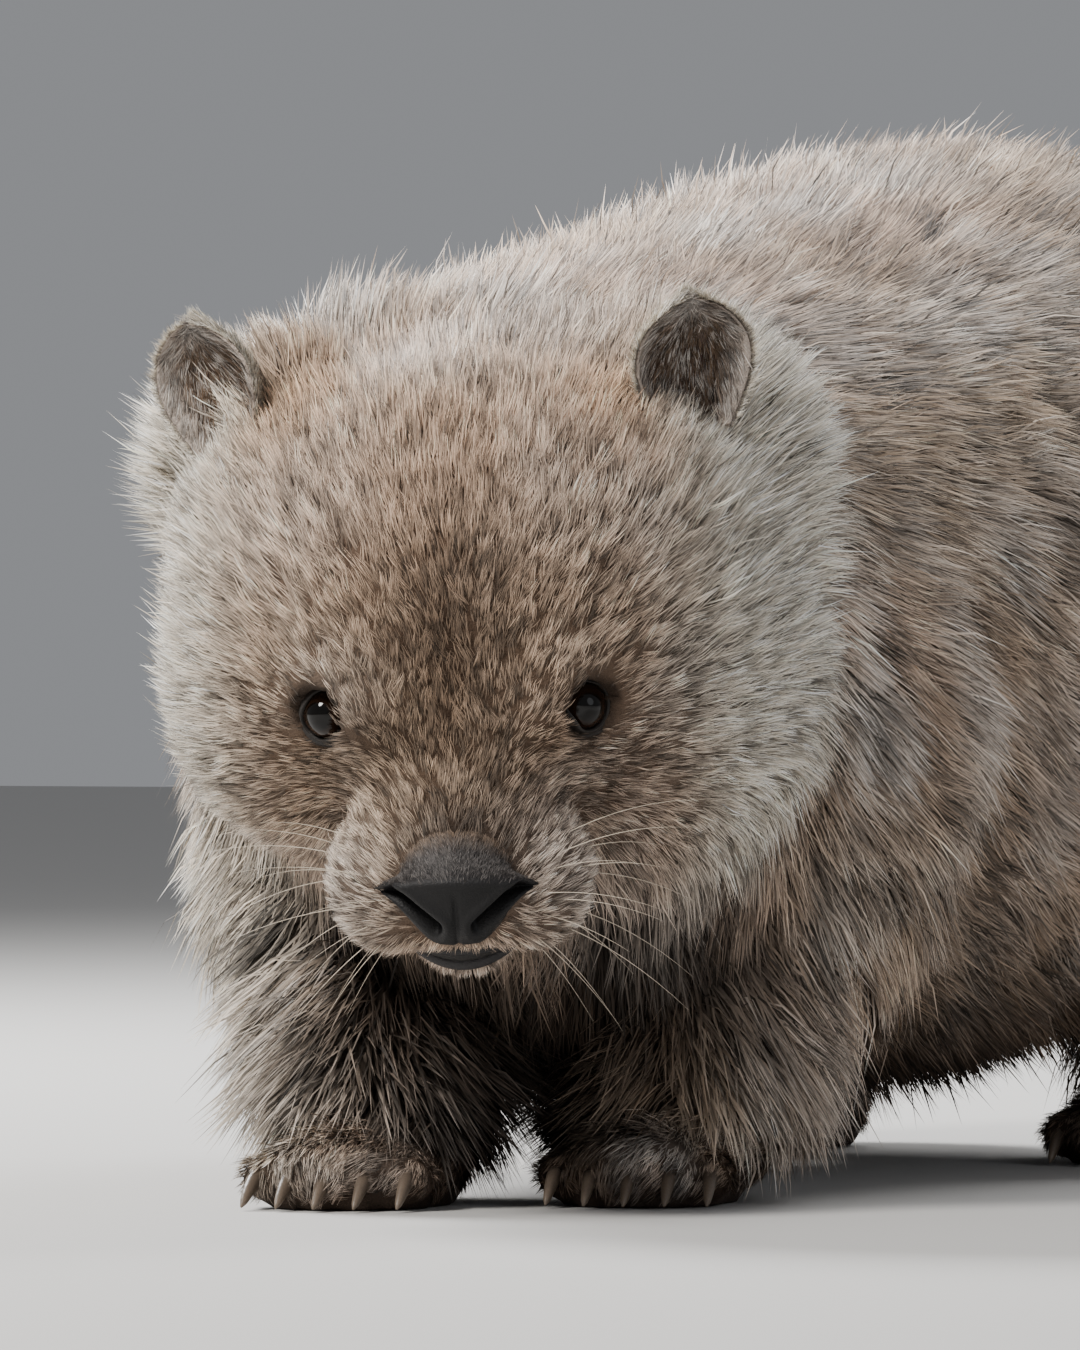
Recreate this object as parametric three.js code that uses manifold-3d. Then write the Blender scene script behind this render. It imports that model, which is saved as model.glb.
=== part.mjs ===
// A bare-nosed wombat, life size, walking with its head low and turned to its left.
// Millimetres, +Z up. The animal faces -Y, its left side is +X, and it stands on z = 0.
import * as THREE from 'three';
import { mergeVertices } from 'three/addons/utils/BufferGeometryUtils.js';
import Module from 'manifold-3d';

const wasm = await Module();
wasm.setup();

// Driving dimensions
const gap = 0.3; // clear space between neighbouring pieces

// Head: where its frame stands and how it is turned
const headPlace = new THREE.Vector3(38, 0, 155);
const headYaw = 23;
const headPitch = 38;
const headRoll = 2.6;

// Trunk, out to the tips of the coat: place along the body, middle, top, underside, half width
const trunkStations = [
  { y: 24, middle: 27, top: 238, under: 104, half: 56 },
  { y: 48, middle: 24, top: 272, under: 78, half: 84 },
  { y: 84, middle: 18, top: 293, under: 58, half: 106 },
  { y: 126, middle: 9, top: 302, under: 50, half: 119 },
  { y: 190, middle: 2, top: 311, under: 42, half: 129 },
  { y: 270, middle: 0, top: 323, under: 36, half: 136 },
  { y: 360, middle: 0, top: 338, under: 34, half: 143 },
  { y: 450, middle: 0, top: 350, under: 38, half: 145 },
  { y: 520, middle: 0, top: 353, under: 56, half: 141 },
  { y: 580, middle: 0, top: 340, under: 86, half: 128 },
  { y: 630, middle: 0, top: 303, under: 128, half: 101 },
  { y: 662, middle: 0, top: 262, under: 170, half: 62 },
  { y: 678, middle: 0, top: 226, under: 206, half: 18 },
];
const trunkSquareness = 2.2; // 2 is an ellipse, more is boxier
const neckCut = 142; // y of the cut between neck and chest
const chestCut = 266; // between chest and belly
const rumpCut = 452; // between belly and rump

// Eyes, in the head's frame: to the left, forward, up
const eyeRadius = 8;
const eyePlace = [41.5, 13.5, 17.5];
const eyeGaze = [0.5, 0.72, 0.48];
const eyeSlant = 25; // degrees that the tall way of the opening leans
const eyeOpening = [6.6, 8.2]; // half width and half height of the gap between the lids
const lidThickness = 2.4;

// Nose pad
const nosePlace = [0, 66, -11];
const nosePadSize = [24.5, 19, 18.5];
const nostrilPlace = [12.5, 82.5, -14];

// Mouth: a slit between the lips
const mouthHalf = 20; // middle to corner
const mouthFront = [62, -37.5]; // forward and up, at the middle
const mouthBack = 22; // how far its corners lie behind the middle
const mouthRise = 5; // and above it
const mouthRadii = [1, 2.4, 2.6, 2.4, 1];

// Ears
const earPlace = [71, -84, 47];
const earLength = 47;
const earWidth = 38;
const earThickness = 15;
const earWall = 3.4;
const earTip = 24; // degrees forward
const earSpread = 16; // degrees outward
const earTurnOut = 24; // degrees about its own length

// Legs: joints from the shoulder or hip down, with the radius at each
const legs = {
  foreleg_r: {
    joints: [[-63, 150, 150], [-55, 116, 96], [-31, 84, 52], [-22, 68, 20]],
    radii: [54, 50, 42, 33],
  },
  foreleg_l: {
    joints: [[82, 190, 150], [76, 172, 98], [62, 140, 52], [52, 122, 20]],
    radii: [54, 52, 43, 34],
  },
  hindleg_r: {
    joints: [[-84, 520, 170], [-92, 500, 112], [-90, 548, 64], [-86, 546, 24]],
    radii: [66, 62, 47, 34],
  },
  hindleg_l: {
    joints: [[84, 480, 170], [92, 452, 112], [90, 500, 64], [86, 498, 24]],
    radii: [66, 62, 47, 34],
  },
};
const ankleCut = 36; // height of the cut between leg and foot

// Feet: where the sole's middle stands, which way the toes point, and its size
const feet = {
  forefoot_r: { place: [-21, 56], turn: 6, length: 66, width: 56, claw: 19 },
  forefoot_l: { place: [54, 110], turn: 14, length: 66, width: 56, claw: 19 },
  hindfoot_r: { place: [-86, 522], turn: -8, length: 96, width: 58, claw: 14 },
  hindfoot_l: { place: [86, 474], turn: 8, length: 96, width: 58, claw: 14 },
};
const toeCount = 5;

// Tail
const tailRoot = [0, 648, 236];
const tailTip = [0, 692, 206];
const tailRadii = [16, 8];

// Coat: flat locks that rise from a core to the tips, and lie one row over the next
const coreDepth = 9; // how far the core lies below the tips
const faceCoreDepth = 3.5;
const lockLevels = [-16, -5.5, -1, 2.5]; // height of a lock's middle line, from root to tip
const lockWidths = [0.36, 0.5, 0.34, 0]; // half width at the same places, of its full width
const lockThickness = [3.2, 3, 1.6, 0]; // half thickness there
const lockPlaces = [0, 0.36, 0.76, 1]; // where along its length
const lockTries = [[0, 1], [2.5, 1], [5, 1], [1, 0.78], [4, 0.78], [0, 0.6]]; // lift, part of full size
const lockClearance = 2; // how much longer and wider its clear room is
const touchVolume = 0.001; // cubic millimetres that count as crossing
const trunkLock = { length: 98, width: 66, rowPitch: 62, sidePitch: 70, jitter: 0.1 };
const lastRow = 652; // y of the row of locks nearest the tail
const legLock = { length: 60, width: 46 };
const legRows = [128, 84]; // heights of the rows on each leg
const legLocksRound = 5;
const flankWidth = 120; // distance from the middle where the coat falls most
const throatEnd = 150; // y where the throat's downward lie ends
const throatLength = 110;
const throatTop = 190; // height above which the coat lies backward again
const cheekLock = { length: 62, width: 40 };
const cheekRows = [-34, -66]; // how far forward in the head's frame
const cheekAngles = [-62, -34, -6, 22, 50]; // degrees above level, on either side

// Fineness of the wrapped surfaces
const trunkGrid = { sides: 22, rows: 14, capRows: 4 };
const headGrid = { sides: 24, rows: 9, capRows: 5 };
const legGrid = { sides: 12, rows: 6, capRows: 2 };

// Finishes
const coatFinish = { color: 0x9c8a78, roughness: 0.95, metalness: 0 };
const headFinish = { color: 0xa28f7a, roughness: 0.95, metalness: 0 };
const legFinish = { color: 0x857464, roughness: 0.95, metalness: 0 };
const footFinish = { color: 0x5c4d42, roughness: 0.9, metalness: 0 };
const noseFinish = { color: 0x2b2726, roughness: 0.6, metalness: 0 };
const eyeFinish = { color: 0x0b0908, roughness: 0.08, metalness: 0 };
const earFinish = { color: 0x8c7c6e, roughness: 0.95, metalness: 0 };

const degree = Math.PI / 180;

// The head's frame: its left, its forward way along the muzzle, and its up
const headFrame = makeHeadFrame();

function makeHeadFrame() {
  const yaw = headYaw * degree;
  const pitch = headPitch * degree;
  const roll = headRoll * degree;
  const forward = new THREE.Vector3(
    Math.sin(yaw) * Math.cos(pitch), -Math.cos(yaw) * Math.cos(pitch), -Math.sin(pitch));
  const levelUp = new THREE.Vector3(
    Math.sin(yaw) * Math.sin(pitch), -Math.cos(yaw) * Math.sin(pitch), Math.cos(pitch));
  const levelLeft = new THREE.Vector3(Math.cos(yaw), Math.sin(yaw), 0);
  const left = levelLeft.clone().multiplyScalar(Math.cos(roll)).addScaledVector(levelUp, Math.sin(roll));
  const up = levelUp.clone().multiplyScalar(Math.cos(roll)).addScaledVector(levelLeft, -Math.sin(roll));
  const matrix = new THREE.Matrix4().makeBasis(left, forward, up).setPosition(headPlace);
  return { matrix, inverse: matrix.clone().invert() };
}

function headPoint(left, forward, up) {
  return new THREE.Vector3(left, forward, up).applyMatrix4(headFrame.matrix);
}

// Fields: below zero inside a form, above zero outside, in about millimetres
function ellipsoidField(centre, radii) {
  return (x, y, z) => {
    const a = (x - centre[0]) / radii[0];
    const b = (y - centre[1]) / radii[1];
    const c = (z - centre[2]) / radii[2];
    const near = Math.hypot(a, b, c);
    const slope = Math.hypot(a / radii[0], b / radii[1], c / radii[2]);
    return slope < 1e-6 ? -Math.min(...radii) : (near * (near - 1)) / slope;
  };
}

// A rounded cone between two points: the radius runs evenly from the first to the second
function coneField(start, end, startRadius, endRadius) {
  const axis = end.map((value, i) => value - start[i]);
  const square = axis.reduce((sum, value) => sum + value * value, 0);
  return (x, y, z) => {
    const from = [x - start[0], y - start[1], z - start[2]];
    const along = from.reduce((sum, value, i) => sum + value * axis[i], 0) / square;
    const t = Math.min(1, Math.max(0, along));
    const away = Math.hypot(from[0] - t * axis[0], from[1] - t * axis[1], from[2] - t * axis[2]);
    return away - (startRadius + t * (endRadius - startRadius));
  };
}

// Joins fields, with a fillet about as wide as the number beside each
function blendFields(first, ...others) {
  return (x, y, z) => {
    let value = first(x, y, z);
    for (const [field, width] of others) {
      const other = field(x, y, z);
      const mix = Math.min(1, Math.max(0, 0.5 + (0.5 * (value - other)) / width));
      value = value * (1 - mix) + other * mix - width * mix * (1 - mix);
    }
    return value;
  };
}

function mirrorField(field) {
  return (x, y, z) => field(Math.abs(x), y, z);
}

// The trunk's section at any place along the body, by smooth curves through the stations
const trunkSection = makeTrunkSection();

function makeTrunkSection() {
  const keys = ['middle', 'top', 'under', 'half'];
  const last = trunkStations.length - 1;
  const slopes = trunkStations.map((station, i) => {
    const before = trunkStations[Math.max(0, i - 1)];
    const after = trunkStations[Math.min(last, i + 1)];
    return Object.fromEntries(keys.map((key) => [key, (after[key] - before[key]) / (after.y - before.y)]));
  });
  return (y) => {
    const at = Math.min(trunkStations[last].y, Math.max(trunkStations[0].y, y));
    let i = 0;
    while (i < last - 1 && trunkStations[i + 1].y < at) i += 1;
    const step = trunkStations[i + 1].y - trunkStations[i].y;
    const t = (at - trunkStations[i].y) / step;
    const section = {};
    for (const key of keys) {
      section[key] = (1 + 2 * t) * (1 - t) ** 2 * trunkStations[i][key]
        + t * (1 - t) ** 2 * step * slopes[i][key]
        + t * t * (3 - 2 * t) * trunkStations[i + 1][key]
        + t * t * (t - 1) * step * slopes[i + 1][key];
    }
    return section;
  };
}

function barrelField(x, y, z) {
  const section = trunkSection(y);
  const tall = (section.top - section.under) / 2;
  const middleHeight = (section.top + section.under) / 2;
  const across = Math.abs((x - section.middle) / section.half) ** trunkSquareness;
  const upward = Math.abs((z - middleHeight) / tall) ** trunkSquareness;
  const around = ((across + upward) ** (1 / trunkSquareness) - 1) * Math.min(section.half, tall);
  return Math.max(around, trunkStations[0].y - y, y - trunkStations.at(-1).y);
}

// The barrel with both sides of the nape, the shoulders and the haunches
const trunkField = blendFields(
  barrelField,
  [ellipsoidField([-40, 94, 238], [46, 48, 52]), 26],
  [ellipsoidField([58, 100, 232], [40, 42, 44]), 22],
  [ellipsoidField([-68, 142, 146], [50, 66, 84]), 20],
  [ellipsoidField([84, 168, 146], [50, 66, 84]), 20],
  [ellipsoidField([-86, 512, 172], [60, 92, 108]), 22],
  [ellipsoidField([86, 482, 172], [60, 92, 108]), 22],
);

// The skull, cheeks and muzzle, in the head's frame
const skullField = blendFields(
  ellipsoidField([2.5, -46, 16], [90, 74, 70]),
  [ellipsoidField([52.5, -34, -14], [50, 56, 56]), 16],
  [ellipsoidField([-47.5, -34, -14], [50, 56, 56]), 16],
  [ellipsoidField([48.5, -72, 26], [46, 44, 44]), 14],
  [ellipsoidField([-43.5, -72, 26], [46, 44, 44]), 14],
  [mirrorField(ellipsoidField([26, 2, 22], [32, 34, 22])), 12],
  [coneField([0, 4, 0], [0, 48, -16], 38, 28), 14],
  [mirrorField(ellipsoidField([21, 46, -24], [22, 28, 21])), 9],
);
const jawField = blendFields(
  coneField([0, -14, -40], [0, 42, -46], 38, 17),
  [ellipsoidField([0, 52, -45], [15, 14, 10]), 8],
);

function inHead(field) {
  const point = new THREE.Vector3();
  return (x, y, z) => {
    point.set(x, y, z).applyMatrix4(headFrame.inverse);
    return field(point.x, point.y, point.z);
  };
}

// Wraps a surface round a curve: along rays that leave the curve at every side, and fan
// out at its ends, each corner lies where the field reaches the level
function wrap(field, curve, grid, level = 0, reference = new THREE.Vector3(0, 0, 1)) {
  const rings = [];
  for (let i = grid.capRows; i > 0; i -= 1) rings.push({ t: 0, lean: (-i / grid.capRows) * Math.PI / 2 });
  for (let i = 0; i < grid.rows; i += 1) rings.push({ t: i / (grid.rows - 1), lean: 0 });
  for (let i = 1; i <= grid.capRows; i += 1) rings.push({ t: 1, lean: (i / grid.capRows) * Math.PI / 2 });
  const positions = [];
  for (const { t, lean } of rings) {
    const centre = curve.getPointAt(t);
    const tangent = curve.getTangentAt(t);
    const side = new THREE.Vector3().crossVectors(tangent, reference).normalize();
    const up = new THREE.Vector3().crossVectors(side, tangent);
    const isPole = Math.abs(lean) > 1.57;
    for (let k = 0; k < (isPole ? 1 : grid.sides); k += 1) {
      const angle = (k / grid.sides) * Math.PI * 2;
      const ray = side.clone().multiplyScalar(Math.cos(angle) * Math.cos(lean))
        .addScaledVector(up, Math.sin(angle) * Math.cos(lean))
        .addScaledVector(tangent, Math.sin(lean));
      const reach = reachAlong(field, centre, ray, level);
      positions.push(...centre.clone().addScaledVector(ray, reach).toArray());
    }
  }
  const index = [];
  const first = (row) => (row === 0 ? 0 : 1 + (row - 1) * grid.sides);
  const lastRow = rings.length - 1;
  for (let row = 0; row < lastRow; row += 1) {
    for (let k = 0; k < grid.sides; k += 1) {
      const next = (k + 1) % grid.sides;
      const a = first(row) + (row === 0 ? 0 : k);
      const b = first(row) + (row === 0 ? 0 : next);
      const c = first(row + 1) + (row + 1 === lastRow ? 0 : k);
      const d = first(row + 1) + (row + 1 === lastRow ? 0 : next);
      if (row > 0) index.push(a, b, c);
      if (row + 1 < lastRow) index.push(b, d, c);
    }
  }
  return closedGeometry(positions, dropRepeats(index));
}

function reachAlong(field, centre, ray, level) {
  let reach = 0;
  for (let step = 0; step < 80; step += 1) {
    const value = level - field(
      centre.x + ray.x * reach, centre.y + ray.y * reach, centre.z + ray.z * reach);
    reach += 0.85 * value;
    if (Math.abs(value) < 0.002) break;
  }
  return reach;
}

// Leaves out triangles that repeat a corner or another triangle
function dropRepeats(index) {
  const kept = [];
  const seen = new Set();
  for (let i = 0; i < index.length; i += 3) {
    const [a, b, c] = [index[i], index[i + 1], index[i + 2]];
    const name = [a, b, c].sort((p, q) => p - q).join();
    if (a === b || b === c || c === a || seen.has(name)) continue;
    seen.add(name);
    kept.push(a, b, c);
  }
  return kept;
}

function closedGeometry(positions, index) {
  const geometry = new THREE.BufferGeometry();
  geometry.setAttribute('position', new THREE.Float32BufferAttribute(positions, 3));
  geometry.setIndex(index);
  return geometry;
}

// A tapered round bar through a few points, closed at both ends
function taperedBar(points, radii, sides, flatness = 1) {
  const curve = new THREE.CatmullRomCurve3(points);
  const positions = [];
  const count = radii.length;
  for (let row = 0; row < count; row += 1) {
    const t = row / (count - 1);
    const centre = curve.getPoint(t);
    const tangent = curve.getTangent(t);
    const side = new THREE.Vector3().crossVectors(tangent, new THREE.Vector3(0, 0, 1)).normalize();
    const up = new THREE.Vector3().crossVectors(side, tangent);
    for (let k = 0; k < sides; k += 1) {
      const angle = (k / sides) * Math.PI * 2;
      const corner = centre.clone()
        .addScaledVector(side, Math.cos(angle) * radii[row])
        .addScaledVector(up, Math.sin(angle) * radii[row] * flatness);
      positions.push(...corner.toArray());
    }
  }
  const index = [];
  for (let row = 0; row < count - 1; row += 1) {
    for (let k = 0; k < sides; k += 1) {
      const next = (k + 1) % sides;
      const a = row * sides + k;
      const b = row * sides + next;
      index.push(a, b, a + sides, b, b + sides, a + sides);
    }
  }
  const top = (count - 1) * sides;
  for (let k = 1; k < sides - 1; k += 1) {
    index.push(0, k + 1, k);
    index.push(top, top + k, top + k + 1);
  }
  return closedGeometry(positions, index);
}

// A sphere stretched to three radii
function egg(radii, sides = 14, rows = 10) {
  return new THREE.SphereGeometry(1, sides, rows).scale(...radii);
}

function box(width, depth, height, x, y, z) {
  return new THREE.BoxGeometry(width, depth, height).translate(x, y, z);
}

// Turns a geometry into a solid, with its faces pointing out
function solid(geometry) {
  const plain = geometry.index ? geometry.clone() : geometry;
  plain.deleteAttribute('normal');
  plain.deleteAttribute('uv');
  const merged = mergeVertices(plain, 1e-3);
  const vertProperties = new Float32Array(merged.attributes.position.array);
  const triVerts = new Uint32Array(dropRepeats([...merged.index.array]));
  if (signedVolume(vertProperties, triVerts) < 0) {
    for (let i = 0; i < triVerts.length; i += 3) {
      [triVerts[i], triVerts[i + 1]] = [triVerts[i + 1], triVerts[i]];
    }
  }
  return new wasm.Manifold(new wasm.Mesh({ numProp: 3, vertProperties, triVerts }));
}

function signedVolume(positions, index) {
  let sum = 0;
  const a = new THREE.Vector3();
  const b = new THREE.Vector3();
  const c = new THREE.Vector3();
  for (let i = 0; i < index.length; i += 3) {
    a.fromArray(positions, index[i] * 3);
    b.fromArray(positions, index[i + 1] * 3);
    c.fromArray(positions, index[i + 2] * 3);
    sum += a.dot(b.cross(c));
  }
  return sum / 6;
}

function joined(solids) {
  return solids.reduce((whole, piece) => whole.add(piece));
}

function cutBy(whole, tools) {
  return tools.reduce((rest, tool) => rest.subtract(tool), whole);
}

// Adds one closed surface, the largest of a solid, to the group as a named mesh
function place(group, name, whole, finish) {
  const largest = whole.decompose().sort((a, b) => b.volume() - a.volume())[0];
  const mesh = largest.getMesh();
  const geometry = new THREE.BufferGeometry();
  geometry.setAttribute('position', new THREE.Float32BufferAttribute(mesh.vertProperties, 3));
  geometry.setIndex([...mesh.triVerts]);
  geometry.computeVertexNormals();
  const piece = new THREE.Mesh(geometry, new THREE.MeshStandardMaterial(finish));
  piece.name = name;
  group.add(piece);
  return piece;
}

// Repeatable draws between -1 and 1
function makeDraws(seed) {
  let state = seed;
  return () => {
    state = (state * 1664525 + 1013904223) % 4294967296;
    return state / 2147483648 - 1;
  };
}

function slopeOf(field, at) {
  const step = 0.5;
  const here = field(at.x, at.y, at.z);
  return new THREE.Vector3(
    field(at.x + step, at.y, at.z) - here,
    field(at.x, at.y + step, at.z) - here,
    field(at.x, at.y, at.z + step) - here).normalize();
}

// Moves a point along the field's slope until it lies at the level
function settle(field, at, level) {
  const point = at.clone();
  for (let step = 0; step < 12; step += 1) {
    point.addScaledVector(slopeOf(field, point), level - field(point.x, point.y, point.z));
  }
  return point;
}

// One lock: a flat, tapered blade rooted under the core, which hugs the field as it runs
// along its lie and rises to the tips
function makeLock(field, root, lie, size, lift = 0) {
  const out = slopeOf(field, root);
  const along = lie.clone().addScaledVector(out, -lie.dot(out)).normalize();
  const across = new THREE.Vector3().crossVectors(out, along);
  const positions = [];
  for (let i = 0; i < 3; i += 1) {
    const level = lockLevels[i] + (i > 0 ? lift * lockPlaces[i] : 0);
    const spot = root.clone().addScaledVector(along, lockPlaces[i] * size.length);
    const middle = settle(field, spot, level);
    const half = lockWidths[i] * size.width;
    const left = settle(field, spot.clone().addScaledVector(across, half), level);
    const right = settle(field, spot.clone().addScaledVector(across, -half), level);
    const top = middle.clone().addScaledVector(out, lockThickness[i]);
    const under = middle.clone().addScaledVector(out, -lockThickness[i]);
    for (const corner of [left, top, right, under]) positions.push(...corner.toArray());
  }
  const tip = settle(field, root.clone().addScaledVector(along, size.length), lockLevels[3] + lift);
  positions.push(...tip.toArray());
  const index = [0, 1, 2, 0, 2, 3];
  for (let row = 0; row < 2; row += 1) {
    for (let k = 0; k < 4; k += 1) {
      const a = row * 4 + k;
      const b = row * 4 + ((k + 1) % 4);
      index.push(a, a + 4, b, b, a + 4, b + 4);
    }
  }
  for (let k = 0; k < 4; k += 1) index.push(8 + k, 12, 8 + ((k + 1) % 4));
  return solid(closedGeometry(positions, index));
}

// Trunk
const trunkSpine = new THREE.CatmullRomCurve3([
  new THREE.Vector3(22, 60, 164),
  new THREE.Vector3(12, 120, 180),
  new THREE.Vector3(0, 300, 192),
  new THREE.Vector3(0, 590, 218),
]);

function makeTrunk(level) {
  return solid(wrap(trunkField, trunkSpine, trunkGrid, level));
}

function trunkNodeAt(y) {
  if (y > rumpCut) return 'rump';
  if (y > chestCut) return 'belly';
  return y > neckCut ? 'chest' : 'neck';
}

// The coat lies backward along the trunk, down its flanks, and down the throat
function trunkLie(at) {
  const flank = Math.min(1, Math.abs(at.x) / flankWidth);
  const throat = Math.min(1, Math.max(0, (throatEnd - at.y) / throatLength)) * (at.z < throatTop ? 1 : 0.2);
  return new THREE.Vector3(0, 1 - 0.9 * throat, -0.5 * flank - 1.1 * throat - 0.04);
}

// Roots in staggered rows along the trunk: the row nearest the tail first
function trunkRoots() {
  const draw = makeDraws(7);
  const roots = [];
  for (let row = 0, y = lastRow; y > trunkStations[2].y; row += 1, y -= trunkLock.rowPitch) {
    const section = trunkSection(y);
    const tall = (section.top - section.under) / 2;
    const round = Math.PI * (section.half + tall) * 1.04;
    const count = Math.max(5, Math.round(round / trunkLock.sidePitch));
    for (let k = 0; k < count; k += 1) {
      const angle = ((k + (row % 2) * 0.5 + draw() * trunkLock.jitter) / count) * Math.PI * 2;
      const centre = new THREE.Vector3(section.middle, y + draw() * 6, section.under + tall);
      const ray = new THREE.Vector3(Math.cos(angle), 0, Math.sin(angle));
      const reach = reachAlong(trunkField, centre, ray, -coreDepth);
      const root = centre.addScaledVector(ray, reach);
      if (bodyField(root.x, root.y, root.z) > -coreDepth - 3) roots.push(root);
    }
  }
  return roots;
}

// Roots round each leg, in rows, and on the cheeks, where the ruff runs back over the neck
function legRoots(leg) {
  const field = legField(leg);
  const curve = legCurve(leg);
  const roots = [];
  legRows.forEach((height, row) => {
    let centre = curve.getPoint(0);
    for (let i = 0; i <= 60; i += 1) {
      const next = curve.getPoint(i / 60);
      if (Math.abs(next.z - height) < Math.abs(centre.z - height)) centre = next;
    }
    for (let k = 0; k < legLocksRound; k += 1) {
      const angle = ((k + row * 0.5) / legLocksRound) * Math.PI * 2;
      const ray = new THREE.Vector3(Math.cos(angle), Math.sin(angle), 0);
      const root = centre.clone().addScaledVector(ray, reachAlong(field, centre, ray, -coreDepth));
      if (bodyField(root.x, root.y, root.z) > -coreDepth - 2) roots.push(root);
    }
  });
  return roots;
}

function cheekRoots() {
  const field = inHead(skullField);
  const roots = [];
  for (const side of [1, -1]) {
    cheekRows.forEach((forward, row) => {
      cheekAngles.forEach((angle) => {
        const turned = (angle + row * 14) * degree;
        const centre = headPoint(side * 12, forward, 4);
        const ray = headPoint(side * (12 + Math.cos(turned)), forward, 4 + Math.sin(turned)).sub(centre);
        roots.push(centre.clone().addScaledVector(ray, reachAlong(field, centre, ray, -faceCoreDepth)));
      });
    });
  }
  return roots;
}

// The part of the trunk between two places along the body
function slice(trunk, from, to) {
  const length = to - from - gap;
  return trunk.intersect(solid(box(700, length, 700, 0, (from + to) / 2, 200)));
}

// Head
function makeSkull(level) {
  const spine = new THREE.CatmullRomCurve3([
    headPoint(0, -62, 8),
    headPoint(0, -20, 6),
    headPoint(0, 44, -14),
  ]);
  return solid(wrap(inHead(skullField), spine, headGrid, level));
}

function makeJaw(level) {
  const spine = new THREE.LineCurve3(headPoint(0, -14, -40), headPoint(0, 46, -46));
  return solid(wrap(inHead(jawField), spine, { sides: 14, rows: 5, capRows: 3 }, level));
}

function inHeadFrame(geometry) {
  return solid(geometry.applyMatrix4(headFrame.matrix));
}

function makeEyeball(side, extra) {
  const ball = new THREE.SphereGeometry(eyeRadius + extra, 12, 8);
  return inHeadFrame(ball.translate(side * eyePlace[0], eyePlace[1], eyePlace[2]));
}

// Which way an eye looks, in the head's frame
function gaze(side) {
  return new THREE.Vector3(side * eyeGaze[0], eyeGaze[1], eyeGaze[2]).normalize();
}

function makeLids(side) {
  const lids = egg([eyeRadius + lidThickness, eyeRadius + lidThickness, eyeRadius + lidThickness], 14, 8);
  return inHeadFrame(lids.translate(side * eyePlace[0], eyePlace[1], eyePlace[2]));
}

function makeLidOpening(side) {
  const opening = egg([eyeOpening[0], eyeOpening[1], eyeRadius * 1.6], 12, 6);
  const turn = new THREE.Quaternion().setFromUnitVectors(new THREE.Vector3(0, 0, 1), gaze(side));
  opening.rotateZ(side * eyeSlant * degree).applyQuaternion(turn);
  const ahead = gaze(side).multiplyScalar(eyeRadius * 1.1);
  return inHeadFrame(opening.translate(
    side * eyePlace[0] + ahead.x, eyePlace[1] + ahead.y, eyePlace[2] + ahead.z));
}

// The nose pad: a rounded triangle, broad above and narrow below
function makeNosePad(extra) {
  const pad = egg(nosePadSize.map((size) => size + extra), 16, 9);
  const position = pad.attributes.position;
  for (let i = 0; i < position.count; i += 1) {
    const height = position.getZ(i) / nosePadSize[2];
    position.setX(i, position.getX(i) * (0.86 + 0.2 * height));
    position.setY(i, position.getY(i) + 2 * height);
  }
  return inHeadFrame(pad.translate(...nosePlace));
}

function makeNostril(side) {
  const hole = egg([3.2, 7, 6.4], 8, 6).rotateY(side * 38 * degree).rotateZ(-side * 22 * degree);
  return inHeadFrame(hole.translate(side * nostrilPlace[0], nostrilPlace[1], nostrilPlace[2]));
}

// The slit between the lips, drawn up at its corners
function makeMouthSlit() {
  const path = [-1, -0.55, 0, 0.55, 1].map((part) => headPoint(
    part * mouthHalf, mouthFront[0] - mouthBack * part * part, mouthFront[1] + mouthRise * part * part));
  return solid(taperedBar(path, mouthRadii, 8));
}

// An ear: a leaf-shaped cup, open to the front
function makeEar(side) {
  const outer = egg([earWidth / 2, earThickness / 2, earLength / 2], 14, 8);
  taperEar(outer);
  const cup = egg([earWidth / 2 - earWall, earThickness * 0.62, earLength / 2 - earWall], 14, 8);
  taperEar(cup);
  cup.translate(0, earThickness * 0.5, 2);
  const turned = [outer, cup].map((geometry) => geometry
    .translate(0, 0, earLength * 0.36)
    .rotateX(earTip * degree)
    .rotateY(side * earSpread * degree)
    .rotateZ(-side * earTurnOut * degree)
    .translate(side * earPlace[0], earPlace[1], earPlace[2]));
  return inHeadFrame(turned[0]).subtract(inHeadFrame(turned[1]));
}

function taperEar(geometry) {
  const position = geometry.attributes.position;
  for (let i = 0; i < position.count; i += 1) {
    const height = position.getZ(i) / (earLength / 2);
    position.setX(i, position.getX(i) * (1 - 0.22 * Math.max(0, height)));
  }
}

// Legs
function legCurve(leg) {
  return new THREE.CatmullRomCurve3(leg.joints.map((joint) => new THREE.Vector3(...joint)));
}

function legField(leg) {
  const parts = [];
  for (let i = 0; i < leg.joints.length - 1; i += 1) {
    parts.push(coneField(leg.joints[i], leg.joints[i + 1], leg.radii[i], leg.radii[i + 1]));
  }
  return blendFields(parts[0], ...parts.slice(1).map((part) => [part, 12]));
}

function makeLeg(leg) {
  return solid(wrap(legField(leg), legCurve(leg), legGrid, -coreDepth, new THREE.Vector3(0, 1, 0.01)));
}

// The whole body, out to the tips of the coat
const bodyField = blendFields(
  trunkField,
  [inHead(skullField), 14],
  ...Object.values(legs).map((leg) => [legField(leg), 12]),
);

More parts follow.
